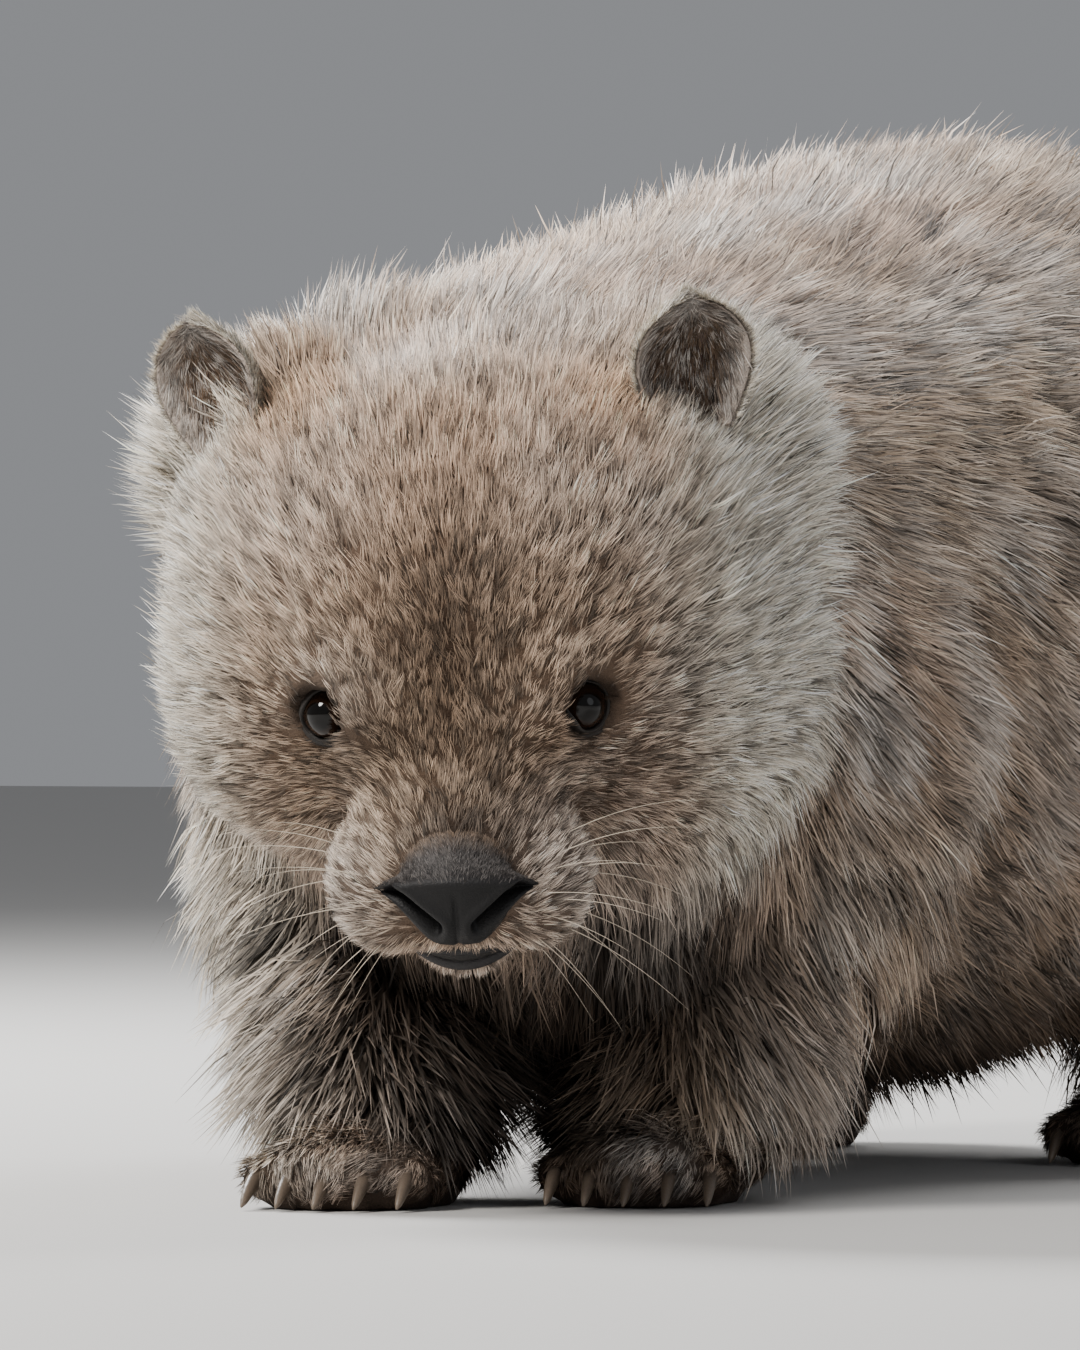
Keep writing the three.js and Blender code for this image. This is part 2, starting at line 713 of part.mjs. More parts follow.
// Feet: a broad pad with a toe and a claw for each digit, flat underneath
function makeFoot(foot) {
  const turn = foot.turn * degree;
  const spot = (across, ahead, height) => new THREE.Vector3(
    foot.place[0] + across * Math.cos(turn) + ahead * Math.sin(turn),
    foot.place[1] + across * Math.sin(turn) - ahead * Math.cos(turn),
    height);
  const half = foot.width / 2;
  const heel = spot(0, -foot.length * 0.28, 12).toArray();
  const ball = spot(0, foot.length * 0.16, 10).toArray();
  const padField = coneField(heel, ball, half * 0.86, half);
  const flatField = (x, y, z) => padField(x, y, 10 + (z - 10) * 1.35);
  const pad = solid(wrap(flatField, new THREE.LineCurve3(
    new THREE.Vector3(...heel), new THREE.Vector3(...ball)), { sides: 12, rows: 2, capRows: 3 }));
  const pieces = [pad];
  for (let toe = 0; toe < toeCount; toe += 1) {
    const fan = toe / (toeCount - 1) - 0.5;
    const across = fan * foot.width * 0.82;
    const reach = foot.length * (0.42 - 0.34 * fan * fan);
    const path = [
      spot(across * 0.8, reach * 0.5, 11),
      spot(across * 0.98, reach * 0.84, 13),
      spot(across * 1.06, reach * 1.08, 8.5),
      spot(across * 1.1, reach * 1.04 + foot.claw * 0.45, 8.2),
      spot(across * 1.12, reach * 1.04 + foot.claw, 1.4),
    ];
    pieces.push(solid(taperedBar(path, [8.2, 8.8, 5.2, 3.4, 0.8], 6)));
  }
  return joined(pieces);
}

const group = new THREE.Group();

const floorBlock = solid(box(900, 1400, 200, 0, 300, -100));
const core = makeTrunk(-coreDepth);
const coreGrown = makeTrunk(-coreDepth + gap);
const skullCore = makeSkull(-faceCoreDepth);
const skullGrown = makeSkull(-faceCoreDepth + gap);
const jaw = makeJaw(0);
const jawGrown = makeJaw(gap);

// Every node's solid by name, so that a new lock can be kept clear of all of them
const solids = new Map();

// Head and what it carries
let skull = skullCore;
for (const side of [1, -1]) {
  skull = skull.add(makeLids(side));
  skull = cutBy(skull, [makeLidOpening(side), makeEyeball(side, gap)]);
}
solids.set('head', cutBy(skull, [makeNosePad(gap), makeMouthSlit()]));
solids.set('jaw', cutBy(jaw, [skullGrown, makeMouthSlit(), makeNosePad(gap)]));
solids.set('nose_pad', cutBy(makeNosePad(0), [makeNostril(1), makeNostril(-1)]));
for (const [suffix, side] of [['l', 1], ['r', -1]]) {
  solids.set(`eye_${suffix}`, makeEyeball(side, 0));
  solids.set(`ear_${suffix}`, cutBy(makeEar(side), [skullGrown, coreGrown]));
}

// Trunk in four lengths
const front = cutBy(core, [skullGrown, jawGrown]);
solids.set('neck', slice(front, -200, neckCut));
solids.set('chest', slice(front, neckCut, chestCut));
solids.set('belly', slice(front, chestCut, rumpCut));
solids.set('rump', slice(front, rumpCut, 900));

const tailBar = taperedBar(
  [new THREE.Vector3(...tailRoot), new THREE.Vector3(...tailTip)], [tailRadii[0], 13, tailRadii[1], 2], 10);
solids.set('tail', solid(tailBar).subtract(coreGrown));

// Legs and feet
const footOf = {
  foreleg_r: 'forefoot_r', foreleg_l: 'forefoot_l', hindleg_r: 'hindfoot_r', hindleg_l: 'hindfoot_l',
};
for (const [name, leg] of Object.entries(legs)) {
  const whole = cutBy(makeLeg(leg), [coreGrown, skullGrown, jawGrown]);
  const upper = solid(box(900, 1400, 400, 0, 300, ankleCut + gap / 2 + 200));
  const lower = solid(box(900, 1400, 200, 0, 300, ankleCut - gap / 2 - 100));
  solids.set(name, whole.intersect(upper));
  const foot = makeFoot(feet[footOf[name]]).add(whole).intersect(lower);
  solids.set(footOf[name], cutBy(foot, [floorBlock, coreGrown]));
}

// Adds a lock to a node where it stays clear of every other node. One that would cross
// is raised, then shortened, and left out where none of these clears.
function growLock(name, root, lie, size) {
  for (const [lift, part] of lockTries) {
    const trimmed = { length: size.length * part, width: size.width * part };
    const guard = { length: trimmed.length + lockClearance, width: trimmed.width + lockClearance };
    const room = makeLock(bodyField, root, lie, guard, lift);
    const crosses = [...solids].some(([other, whole]) => other !== name
      && whole.intersect(room).volume() > touchVolume);
    if (!crosses) {
      solids.set(name, solids.get(name).add(makeLock(bodyField, root, lie, trimmed, lift)));
      return;
    }
  }
}

for (const root of cheekRoots()) {
  const back = headPoint(0, -1, 0).sub(headPlace);
  growLock('head', root, back.add(new THREE.Vector3(0, 0.2, -0.5)), cheekLock);
}
for (const root of trunkRoots()) {
  growLock(trunkNodeAt(root.y), root, trunkLie(root), trunkLock);
}
for (const [name, leg] of Object.entries(legs)) {
  for (const root of legRoots(leg)) growLock(name, root, new THREE.Vector3(0, 0.15, -1), legLock);
}
const finishes = {
  head: headFinish, jaw: headFinish, nose_pad: noseFinish, eye: eyeFinish, ear: earFinish,
  neck: coatFinish, chest: coatFinish, belly: coatFinish, rump: coatFinish, tail: coatFinish,
  foreleg: legFinish, hindleg: legFinish, forefoot: footFinish, hindfoot: footFinish,
};
for (const [name, whole] of solids) {
  place(group, name, whole, finishes[name] ?? finishes[name.replace(/_[lr]$/, '')]);
}

// The origin is the middle of the standing animal's box, on the floor
const bounds = new THREE.Box3().setFromObject(group);
const middle = bounds.getCenter(new THREE.Vector3());
group.position.set(-middle.x, -middle.y, 0);

export default group;
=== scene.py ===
import math
import bpy
import numpy as np
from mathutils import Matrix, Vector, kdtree


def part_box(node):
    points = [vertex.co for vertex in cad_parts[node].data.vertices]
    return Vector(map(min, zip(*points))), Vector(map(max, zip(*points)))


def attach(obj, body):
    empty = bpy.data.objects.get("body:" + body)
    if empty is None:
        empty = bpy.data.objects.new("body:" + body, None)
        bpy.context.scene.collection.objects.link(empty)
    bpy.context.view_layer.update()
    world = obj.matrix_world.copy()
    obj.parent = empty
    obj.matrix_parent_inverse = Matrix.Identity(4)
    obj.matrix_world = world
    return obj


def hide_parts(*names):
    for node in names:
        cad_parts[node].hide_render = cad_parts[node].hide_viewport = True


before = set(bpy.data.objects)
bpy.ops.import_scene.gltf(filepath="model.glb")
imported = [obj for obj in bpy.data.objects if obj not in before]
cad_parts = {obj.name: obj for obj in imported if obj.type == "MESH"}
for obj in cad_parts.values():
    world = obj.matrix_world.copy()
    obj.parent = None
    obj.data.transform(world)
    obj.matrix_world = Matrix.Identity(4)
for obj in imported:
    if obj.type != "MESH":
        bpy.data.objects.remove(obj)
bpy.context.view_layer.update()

radian = math.pi / 180
milli = 0.001

# Shapes are worked out in millimetres in the maker's frame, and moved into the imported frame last.

head = {"place": (38, 0, 155), "yaw": 23, "pitch": 42, "roll": 2.6}   # where the head's own frame stands

trunk = {
    # place along the body, middle, top, underside, half width, out to the tips of the coat
    "stations": [
        (24, 27, 238, 104, 56), (48, 24, 272, 78, 84), (84, 18, 293, 58, 106), (126, 9, 302, 50, 119),
        (190, 2, 311, 42, 129), (270, 0, 323, 36, 136), (360, 0, 338, 34, 143), (450, 0, 350, 38, 145),
        (520, 0, 353, 56, 141), (580, 0, 340, 86, 128), (630, 0, 303, 128, 101), (662, 0, 262, 170, 62),
        (678, 0, 226, 206, 18)],
    "squareness": 2.2,
    "nape": [((-40, 94, 238), (46, 48, 52), 26), ((58, 100, 232), (40, 42, 44), 22)],
    "shoulders": [((-68, 142, 146), (50, 66, 84), 20), ((84, 168, 146), (50, 66, 84), 20)],
    "haunches": [((-86, 512, 172), (60, 92, 108), 22), ((86, 482, 172), (60, 92, 108), 22)],
    "spine": [(22, 60, 164), (12, 120, 180), (0, 300, 192), (0, 590, 218)],
}

legs = {
    "foreleg_r": {"joints": [(-63, 150, 150), (-55, 116, 96), (-31, 84, 52), (-22, 68, 20)],
                  "radii": [54, 50, 42, 33]},
    "foreleg_l": {"joints": [(82, 190, 150), (76, 172, 98), (62, 140, 52), (52, 122, 20)],
                  "radii": [54, 52, 43, 34]},
    "hindleg_r": {"joints": [(-84, 520, 170), (-92, 500, 112), (-90, 548, 64), (-86, 546, 24)],
                  "radii": [66, 62, 47, 34]},
    "hindleg_l": {"joints": [(84, 480, 170), (92, 452, 112), (90, 500, 64), (86, 498, 24)],
                  "radii": [66, 62, 47, 34]},
}

feet = {
    "forefoot_r": {"place": (-21, 56), "turn": 6, "length": 66, "width": 56, "claw": 19},
    "forefoot_l": {"place": (54, 110), "turn": 14, "length": 66, "width": 56, "claw": 19},
    "hindfoot_r": {"place": (-86, 522), "turn": -8, "length": 96, "width": 58, "claw": 14},
    "hindfoot_l": {"place": (86, 474), "turn": 8, "length": 96, "width": 58, "claw": 14},
}

eye = {"radius": 8.7, "place": (38.4, 14.5, 17.2), "gaze": (0.46, 0.74, 0.46),
       "openWide": 6.9, "openTall": 8.2, "slant": 25, "socket": 5.6,
       "solid": (84.25, -4.88, 161.95)}   # where the solid of the left eyeball stands in the maker's frame
nose = {"place": (0, 65.5, -10.5), "size": (24.5, 18.5, 17.5), "view": 42}


def unit(v):
    # A vector, or each row of vectors, over its own length
    v = np.asarray(v, float)
    return v / np.maximum(np.linalg.norm(v, axis=-1, keepdims=True), 1e-9)


def smooth(low, high, x):
    # 0 below low, 1 above high, and 3t^2 - 2t^3 between; the other way round where low is above high
    t = np.clip((x - low) / (high - low), 0, 1)
    return t * t * (3 - 2 * t)


def turned(a, b, angle):
    # a cos(angle) + b sin(angle), for one angle or for one on each row
    angle = np.asarray(angle)[..., None]
    return a * np.cos(angle) + b * np.sin(angle)


def fullTurn(count):
    # Even angles once round
    return np.arange(count) / count * 2 * math.pi


def headAxes():
    # Left, forward and up of the head: yaw and pitch turn level axes, then roll turns left and up
    yaw, pitch, roll = (head[k] * radian for k in ("yaw", "pitch", "roll"))
    forward = np.array([math.sin(yaw) * math.cos(pitch), -math.cos(yaw) * math.cos(pitch), -math.sin(pitch)])
    levelUp = np.array([math.sin(yaw) * math.sin(pitch), -math.cos(yaw) * math.sin(pitch), math.cos(pitch)])
    levelLeft = np.array([math.cos(yaw), math.sin(yaw), 0.0])
    left = turned(levelLeft, levelUp, roll)
    up = turned(levelUp, -levelLeft, roll)
    return np.array([left, forward, up])


headBase = headAxes()
headPlace = np.array(head["place"], float)


def toHead(p):
    # Places in the head's frame: left, forward, up
    return (p - headPlace) @ headBase.T


def fromHead(q):
    return headPlace + np.asarray(q, float) @ headBase


def mirrored(q):
    # Places in the head's frame, all brought to its left side
    return np.concatenate([np.abs(q[:, :1]), q[:, 1:]], axis=1)


def sided(place, side):
    # A place or way given for the left, on the left where side is 1 and on the right where it is -1
    return np.array([side * place[0], place[1], place[2]])


# Fields: below zero inside a form and above zero outside it, in about millimetres

def ellipsoidField(p, centre, radii):
    # k(k - 1)/s, where k is the distance over the radii and s the same over the squared radii
    a = (p - np.array(centre, float)) / np.array(radii, float)
    k = np.linalg.norm(a, axis=-1)
    s = np.linalg.norm(a / np.array(radii, float), axis=-1)
    return k * (k - 1) / np.maximum(s, 1e-9)


def coneField(p, start, end, startRadius, endRadius):
    # Distance to a line piece, less a radius that runs evenly from one end to the other
    start, end = np.array(start, float), np.array(end, float)
    axis = end - start
    t = np.clip(((p - start) @ axis) / (axis @ axis), 0, 1)
    away = np.linalg.norm(p - start - t[:, None] * axis, axis=1)
    return away - (startRadius + t * (endRadius - startRadius))


def blend(a, b, width):
    # The lower of two fields, with a fillet as wide as width where they meet
    mix = np.clip(0.5 + 0.5 * (a - b) / width, 0, 1)
    return a * (1 - mix) + b * mix - width * mix * (1 - mix)


stationTable = np.array(trunk["stations"], float)
stationSlope = np.empty_like(stationTable[:, 1:])
stationSlope[1:-1] = (stationTable[2:, 1:] - stationTable[:-2, 1:]) / (
    stationTable[2:, :1] - stationTable[:-2, :1])
stationSlope[0] = (stationTable[1, 1:] - stationTable[0, 1:]) / (stationTable[1, 0] - stationTable[0, 0])
stationSlope[-1] = (stationTable[-1, 1:] - stationTable[-2, 1:]) / (stationTable[-1, 0] - stationTable[-2, 0])


def trunkSection(y):
    # Cubic curves through the stations: middle, top, underside and half width at each place
    first, last = stationTable[0, 0], stationTable[-1, 0]
    at = np.clip(y, first, last)
    i = np.clip(np.searchsorted(stationTable[:, 0], at) - 1, 0, len(stationTable) - 2)
    step = (stationTable[i + 1, 0] - stationTable[i, 0])[:, None]
    t = ((at - stationTable[i, 0]) / step[:, 0])[:, None]
    return ((1 + 2 * t) * (1 - t) ** 2 * stationTable[i, 1:] + t * (1 - t) ** 2 * step * stationSlope[i]
            + t * t * (3 - 2 * t) * stationTable[i + 1, 1:] + t * t * (t - 1) * step * stationSlope[i + 1])


def barrelField(p):
    # A section |x/w|^n + |z/h|^n = 1 that changes along the body
    middle, top, under, half = trunkSection(p[:, 1]).T
    tall = (top - under) / 2
    n = trunk["squareness"]
    across = np.abs((p[:, 0] - middle) / half) ** n
    upward = np.abs((p[:, 2] - (top + under) / 2) / tall) ** n
    around = ((across + upward) ** (1 / n) - 1) * np.minimum(half, tall)
    return np.maximum.reduce([around, stationTable[0, 0] - p[:, 1], p[:, 1] - stationTable[-1, 0]])


def trunkField(p):
    value = barrelField(p)
    for centre, radii, width in trunk["nape"] + trunk["shoulders"] + trunk["haunches"]:
        value = blend(value, ellipsoidField(p, centre, radii), width)
    return value


skull = {
    # centre, radii and blend, in the head's frame: cheeks, back of the cheeks, ruff and brows
    "cranium": ((2.5, -46, 16), (90, 74, 70)),
    "forms": [("own", (50, -34, -14), (50, 56, 56), 16), ("own", (-44, -34, -14), (50, 56, 56), 16),
              ("own", (48.5, -72, 26), (46, 44, 44), 14), ("own", (-43.5, -72, 26), (46, 44, 44), 14),
              ("pair", (61, -100, 14), (34, 32, 42), 16), ("own", (-52, -98, 42), (30, 24, 30), 12),
              ("pair", (26, 2, 22), (32, 34, 22), 12)],
    "bridge": ((0, 4, 0), (0, 48, -16), 38, 28), "bridgeBlend": 14,
    "lips": ((21, 46, -24), (22, 28, 21)), "lipBlend": 9,
}


def skullField(p):
    # The skull's forms, blended in turn in the head's frame
    q = toHead(p)
    m = mirrored(q)
    value = ellipsoidField(q, *skull["cranium"])
    for kind, centre, radii, width in skull["forms"]:
        value = blend(value, ellipsoidField(m if kind == "pair" else q, centre, radii), width)
    value = blend(value, coneField(q, *skull["bridge"]), skull["bridgeBlend"])
    return blend(value, ellipsoidField(m, *skull["lips"]), skull["lipBlend"])


def jawField(p):
    q = toHead(p)
    value = coneField(q, (0, -14, -40), (0, 42, -46), 38, 17)
    return blend(value, ellipsoidField(q, (0, 50, -46), (15, 13, 11)), 8)   # chin


def headField(p):
    return np.minimum(skullField(p), jawField(p))


def legField(p, name):
    leg = legs[name]
    value = None
    for a, b, ra, rb in zip(leg["joints"], leg["joints"][1:], leg["radii"], leg["radii"][1:]):
        part = coneField(p, a, b, ra, rb)
        value = part if value is None else blend(value, part, 12)
    return value


def legFields(p):
    return np.stack([legField(p, name) for name in legs], axis=1)


def footSpot(foot, across, ahead, height):
    # A place on a foot, turned about the sole's middle
    turn = foot["turn"] * radian
    return (foot["place"][0] + across * math.cos(turn) + ahead * math.sin(turn),
            foot["place"][1] + across * math.sin(turn) - ahead * math.cos(turn), height)


def toePath(foot, toe):
    # How far across and ahead a toe's tip lies: the middle toes reach furthest
    fan = toe / 4 - 0.5
    across = fan * foot["width"] * 0.82
    reach = foot["length"] * (0.42 - 0.34 * fan * fan)
    return across, reach


def footField(p, name):
    foot = feet[name]
    half = foot["width"] / 2
    heel = footSpot(foot, 0, -foot["length"] * 0.28, 10)
    ball = footSpot(foot, 0, foot["length"] * 0.16, 10)
    squashed = p * np.array([1, 1, 1.35]) - np.array([0, 0, 3.5])
    value = coneField(squashed, heel, ball, half * 0.86, half)
    for toe in range(5):
        across, reach = toePath(foot, toe)
        root = footSpot(foot, across * 0.8, reach * 0.5, 12)
        tip = footSpot(foot, across * 1.04, reach, 10)
        value = blend(value, coneField(p, root, tip, 9, 7.6), 3.5)
    return value


def bodyField(p):
    # The whole body, out to the tips of the coat
    value = blend(trunkField(p), skullField(p), 26)
    value = blend(value, jawField(p), 10)
    for name in legs:
        value = blend(value, legField(p, name), 14)
    low = np.where(p[:, 2] < 90)[0]
    if len(low):
        for name in feet:
            value[low] = blend(value[low], footField(p[low], name) - 2, 6)
    return value


eyePlace = np.array(eye["place"])
eyeGaze = unit(np.array(eye["gaze"]))


def eyeDistance(q):
    # How far places lie from an eye's line of sight, and how far along it
    e = mirrored(q) - eyePlace
    along = e @ eyeGaze
    return np.linalg.norm(e - along[:, None] * eyeGaze, axis=1), along


def coatDepth(p):
    # How far the skin lies under the tips: deep on the body, thin on the muzzle and feet
    q = toHead(p)
    onHead = smooth(16, 2, headField(p))
    face = smooth(-75, 30, q[:, 1])
    depth = 13 - onHead * (4 + 6.2 * face)
    away, along = eyeDistance(q)
    depth = depth + eye["socket"] * np.exp(-(away / 13) ** 2) * smooth(-6, 2, along)
    feetLow = smooth(34, 16, p[:, 2])
    return depth * (1 - feetLow) + 2.0 * feetLow


def gradient(field, p, step=0.6):
    # Slope of a field by small steps along each axis
    here = field(p)
    return here, np.stack([field(p + step * np.eye(3)[k]) - here for k in range(3)], axis=1) / step


def settle(p, rounds=6):
    # Moves places along the body field's slope until they lie on the skin
    for _ in range(rounds):
        value, slope = gradient(bodyField, p)
        size = np.maximum((slope ** 2).sum(axis=1, keepdims=True), 0.25)
        p = p - 0.9 * np.clip(value + coatDepth(p), -6, 6)[:, None] * slope / size
    return p


def outward(p):
    return unit(gradient(bodyField, p)[1])


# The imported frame's shift, from the place of one eye
eyeBox = np.array(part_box("eye_l"), float)
shift = eyeBox.mean(axis=0) / milli - np.array(eye["solid"])


def toFrame(p):
    return (np.asarray(p, float) + shift) * milli


def addObject(name, data):
    thing = bpy.data.objects.new(name, data)
    bpy.context.scene.collection.objects.link(thing)
    return thing


def meshObject(name, places, faces):
    # Puts whole arrays into a mesh: faces is one array of triangles or of quads
    places = toFrame(places)
    faces = np.asarray(faces, np.int32)
    sides = faces.shape[1]
    mesh = bpy.data.meshes.new(name)
    mesh.vertices.add(len(places))
    mesh.vertices.foreach_set("co", places.astype(np.float32).ravel())
    mesh.loops.add(faces.size)
    mesh.loops.foreach_set("vertex_index", faces.ravel())
    mesh.polygons.add(len(faces))
    mesh.polygons.foreach_set("loop_start", np.arange(0, faces.size, sides, dtype=np.int32))
    mesh.polygons.foreach_set("use_smooth", np.ones(len(faces), bool))
    mesh.update(calc_edges=True)
    return addObject(name, mesh)


def gridFaces(rows, columns, closed=True):
    # Triangles of a grid of corners, joined round its columns where closed
    r, c = np.meshgrid(np.arange(rows - 1), np.arange(columns if closed else columns - 1), indexing="ij")
    a, d = r * columns + c, r * columns + (c + 1) % columns
    b, e = a + columns, d + columns
    return np.concatenate([np.stack([a, d, e], -1).reshape(-1, 3), np.stack([a, e, b], -1).reshape(-1, 3)])


def joinParts(name, parts):
    # One piece from several pairs of corners and faces
    places, faces, count = [], [], 0
    for p, f in parts:
        places.append(p)
        faces.append(f + count)
        count += len(p)
    return meshObject(name, np.concatenate(places), np.concatenate(faces))


def colourAttribute(piece, colours):
    # The colour of every corner, which the finishes read by the name Coat
    layer = piece.data.color_attributes.new("Coat", "FLOAT_COLOR", "POINT")
    rgba = np.ones((len(colours), 4), np.float32)
    rgba[:, :3] = colours
    layer.data.foreach_set("color", rgba.ravel())
    piece.data.color_attributes.active_color = layer


def linear(red, green, blue):
    # A colour as the eye names it, from 0 to 255, as linear light
    c = np.array([red, green, blue]) / 255
    return np.where(c <= 0.04045, c / 12.92, ((c + 0.055) / 1.055) ** 2.4)


# Skin

skin = {"voxel": 0.0034, "sides": 64, "rows": 60, "capRows": 16}


def catmull(points, count):
    # A smooth curve through a few points: cubic pieces whose slope is half the step between neighbours
    p = np.array(points, float)
    p = np.vstack([2 * p[0] - p[1], p, 2 * p[-1] - p[-2]])
    t = np.linspace(0, len(p) - 3 - 1e-6, count)
    i = t.astype(int)
    f = (t - i)[:, None]
    a, b, c, d = p[i], p[i + 1], p[i + 2], p[i + 3]
    bow, twist = 2 * a - 5 * b + 4 * c - d, 3 * b - a - 3 * c + d
    return 0.5 * (2 * b + (c - a) * f + bow * f ** 2 + twist * f ** 3)


def wrap(field, path, level, reference=(0, 0, 1)):
    # Rays leave a path at every side and fan out at its ends; each corner lies where the field
    # reaches the level
    rows, cap, sides = skin["rows"], skin["capRows"], skin["sides"]
    line = catmull(path, rows)
    tangent = unit(np.gradient(line, axis=0))
    lean = np.concatenate([-np.linspace(0.5, 0.04, cap), np.zeros(rows), np.linspace(0.04, 0.5, cap)])
    lean = lean * math.pi
    pick = np.concatenate([np.zeros(cap, int), np.arange(rows), np.full(cap, rows - 1)])
    side = unit(np.cross(tangent, reference))[pick]
    up = np.cross(side, tangent[pick])
    flat = turned(side[:, None], up[:, None], fullTurn(sides)[None])
    ray = turned(flat, tangent[pick][:, None], lean[:, None])
    centre = np.repeat(line[pick][:, None], sides, axis=1).reshape(-1, 3)
    ray = ray.reshape(-1, 3)
    reach = np.zeros(len(ray))
    for _ in range(50):
        reach += 0.8 * (level - field(centre + ray * reach[:, None]))
    return centre + ray * reach[:, None], gridFaces(len(pick), sides)


def openSockets(p):
    # Skin in front of an eyeball is pushed back inside it: along = 0.6 root(radius^2 - away^2)
    q = toHead(p)
    for side in (1, -1):
        gaze = sided(eyeGaze, side)
        e = q - sided(eyePlace, side)
        along = e @ gaze
        away = np.linalg.norm(e - along[:, None] * gaze, axis=1)
        inside = 0.6 * np.sqrt(np.clip(eye["radius"] ** 2 - away ** 2, 0, None)) - 1.0
        push = np.where(along > -3, np.clip(along - inside, 0, None), 0) * smooth(9.0, 7.2, away)
        q = q - push[:, None] * gaze
    return fromHead(q)


def makeSkin():
    # Wrapped forms are joined and remeshed as one, then every corner settles on the body field
    upright = (0, 0, 1)
    forms = [(trunkField, trunk["spine"], -11, upright),
             (skullField, fromHead([(0, -62, 8), (0, -20, 6), (0, 44, -14)]), -5, upright),
             (jawField, fromHead([(0, -14, -40), (0, 16, -43), (0, 46, -46)]), -5, upright)]
    for name in legs:
        forms.append((lambda p, n=name: legField(p, n), legs[name]["joints"], -9, (0, 1, 0.01)))
    for name in feet:
        foot = feet[name]
        spine = [footSpot(foot, 0, -foot["length"] * 0.28, 10), footSpot(foot, 0, 0, 10),
                 footSpot(foot, 0, foot["length"] * 0.2, 10)]
        forms.append((lambda p, n=name: footField(p, n), spine, 0, upright))
    piece = joinParts("skin", [wrap(*form) for form in forms])
    remesh = piece.modifiers.new("Remesh", "REMESH")
    remesh.mode = "VOXEL"
    remesh.voxel_size = skin["voxel"]
    evaluated = piece.evaluated_get(bpy.context.evaluated_depsgraph_get())
    mesh = bpy.data.meshes.new_from_object(evaluated)
    piece.modifiers.clear()
    old = piece.data
    piece.data = mesh
    bpy.data.meshes.remove(old)
    mesh.name = "skin"
    co = np.empty(len(mesh.vertices) * 3, np.float32)
    mesh.vertices.foreach_get("co", co)
    p = co.reshape(-1, 3).astype(float) / milli - shift
    p = openSockets(settle(p))
    p[:, 2] = np.maximum(p[:, 2], 0.3)
    mesh.vertices.foreach_set("co", toFrame(p).astype(np.float32).ravel())
    mesh.polygons.foreach_set("use_smooth", np.ones(len(mesh.polygons), bool))
    mesh.update()
    return piece, p


def trianglesOf(mesh):
    mesh.calc_loop_triangles()
    corners = np.empty(len(mesh.loop_triangles) * 3, np.int32)
    mesh.loop_triangles.foreach_get("vertices", corners)
    return corners.reshape(-1, 3)


# Markings, with painted shade and painted light among them, shared by skin and coat

shades = {
    "cream": linear(246, 238, 224), "silver": linear(226, 221, 216), "sand": linear(216, 196, 174),
    "tan": linear(204, 164, 126), "brown": linear(142, 119, 98), "umber": linear(96, 79, 66),
    "dark": linear(44, 36, 30), "charcoal": linear(46, 43, 44), "rose": linear(204, 178, 162),
}


def makeWaves(seed, count, size):
    # Directions, lengths and phases of plane waves whose sum makes soft patches about size wide
    draw = np.random.default_rng(seed)
    direction = unit(draw.normal(size=(count, 3)))
    waves = direction * (2 * math.pi / (size * draw.uniform(0.7, 1.6, (count, 1))))
    return waves, draw.uniform(0, 6.28, count)


waveSets = {"broad": makeWaves(3, 14, 120), "middle": makeWaves(5, 16, 42), "fine": makeWaves(8, 18, 14)}


def patches(p, kind):
    # Sum of waves over the root of half their number: about -1 to 1
    waves, phase = waveSets[kind]
    return np.sin(p @ waves.T + phase).sum(axis=1) / math.sqrt(len(phase) / 2) * 0.6


def spot(q, centre, radii):
    # 1 at a centre, falling to 0 as the distance over the radii grows: exp(-d^2)
    d = (q - np.array(centre, float)) / np.array(radii, float)
    return np.exp(-(d ** 2).sum(axis=-1))


def mixColour(colour, shade, amount):
    return colour * (1 - amount[:, None]) + shades[shade] * amount[:, None]


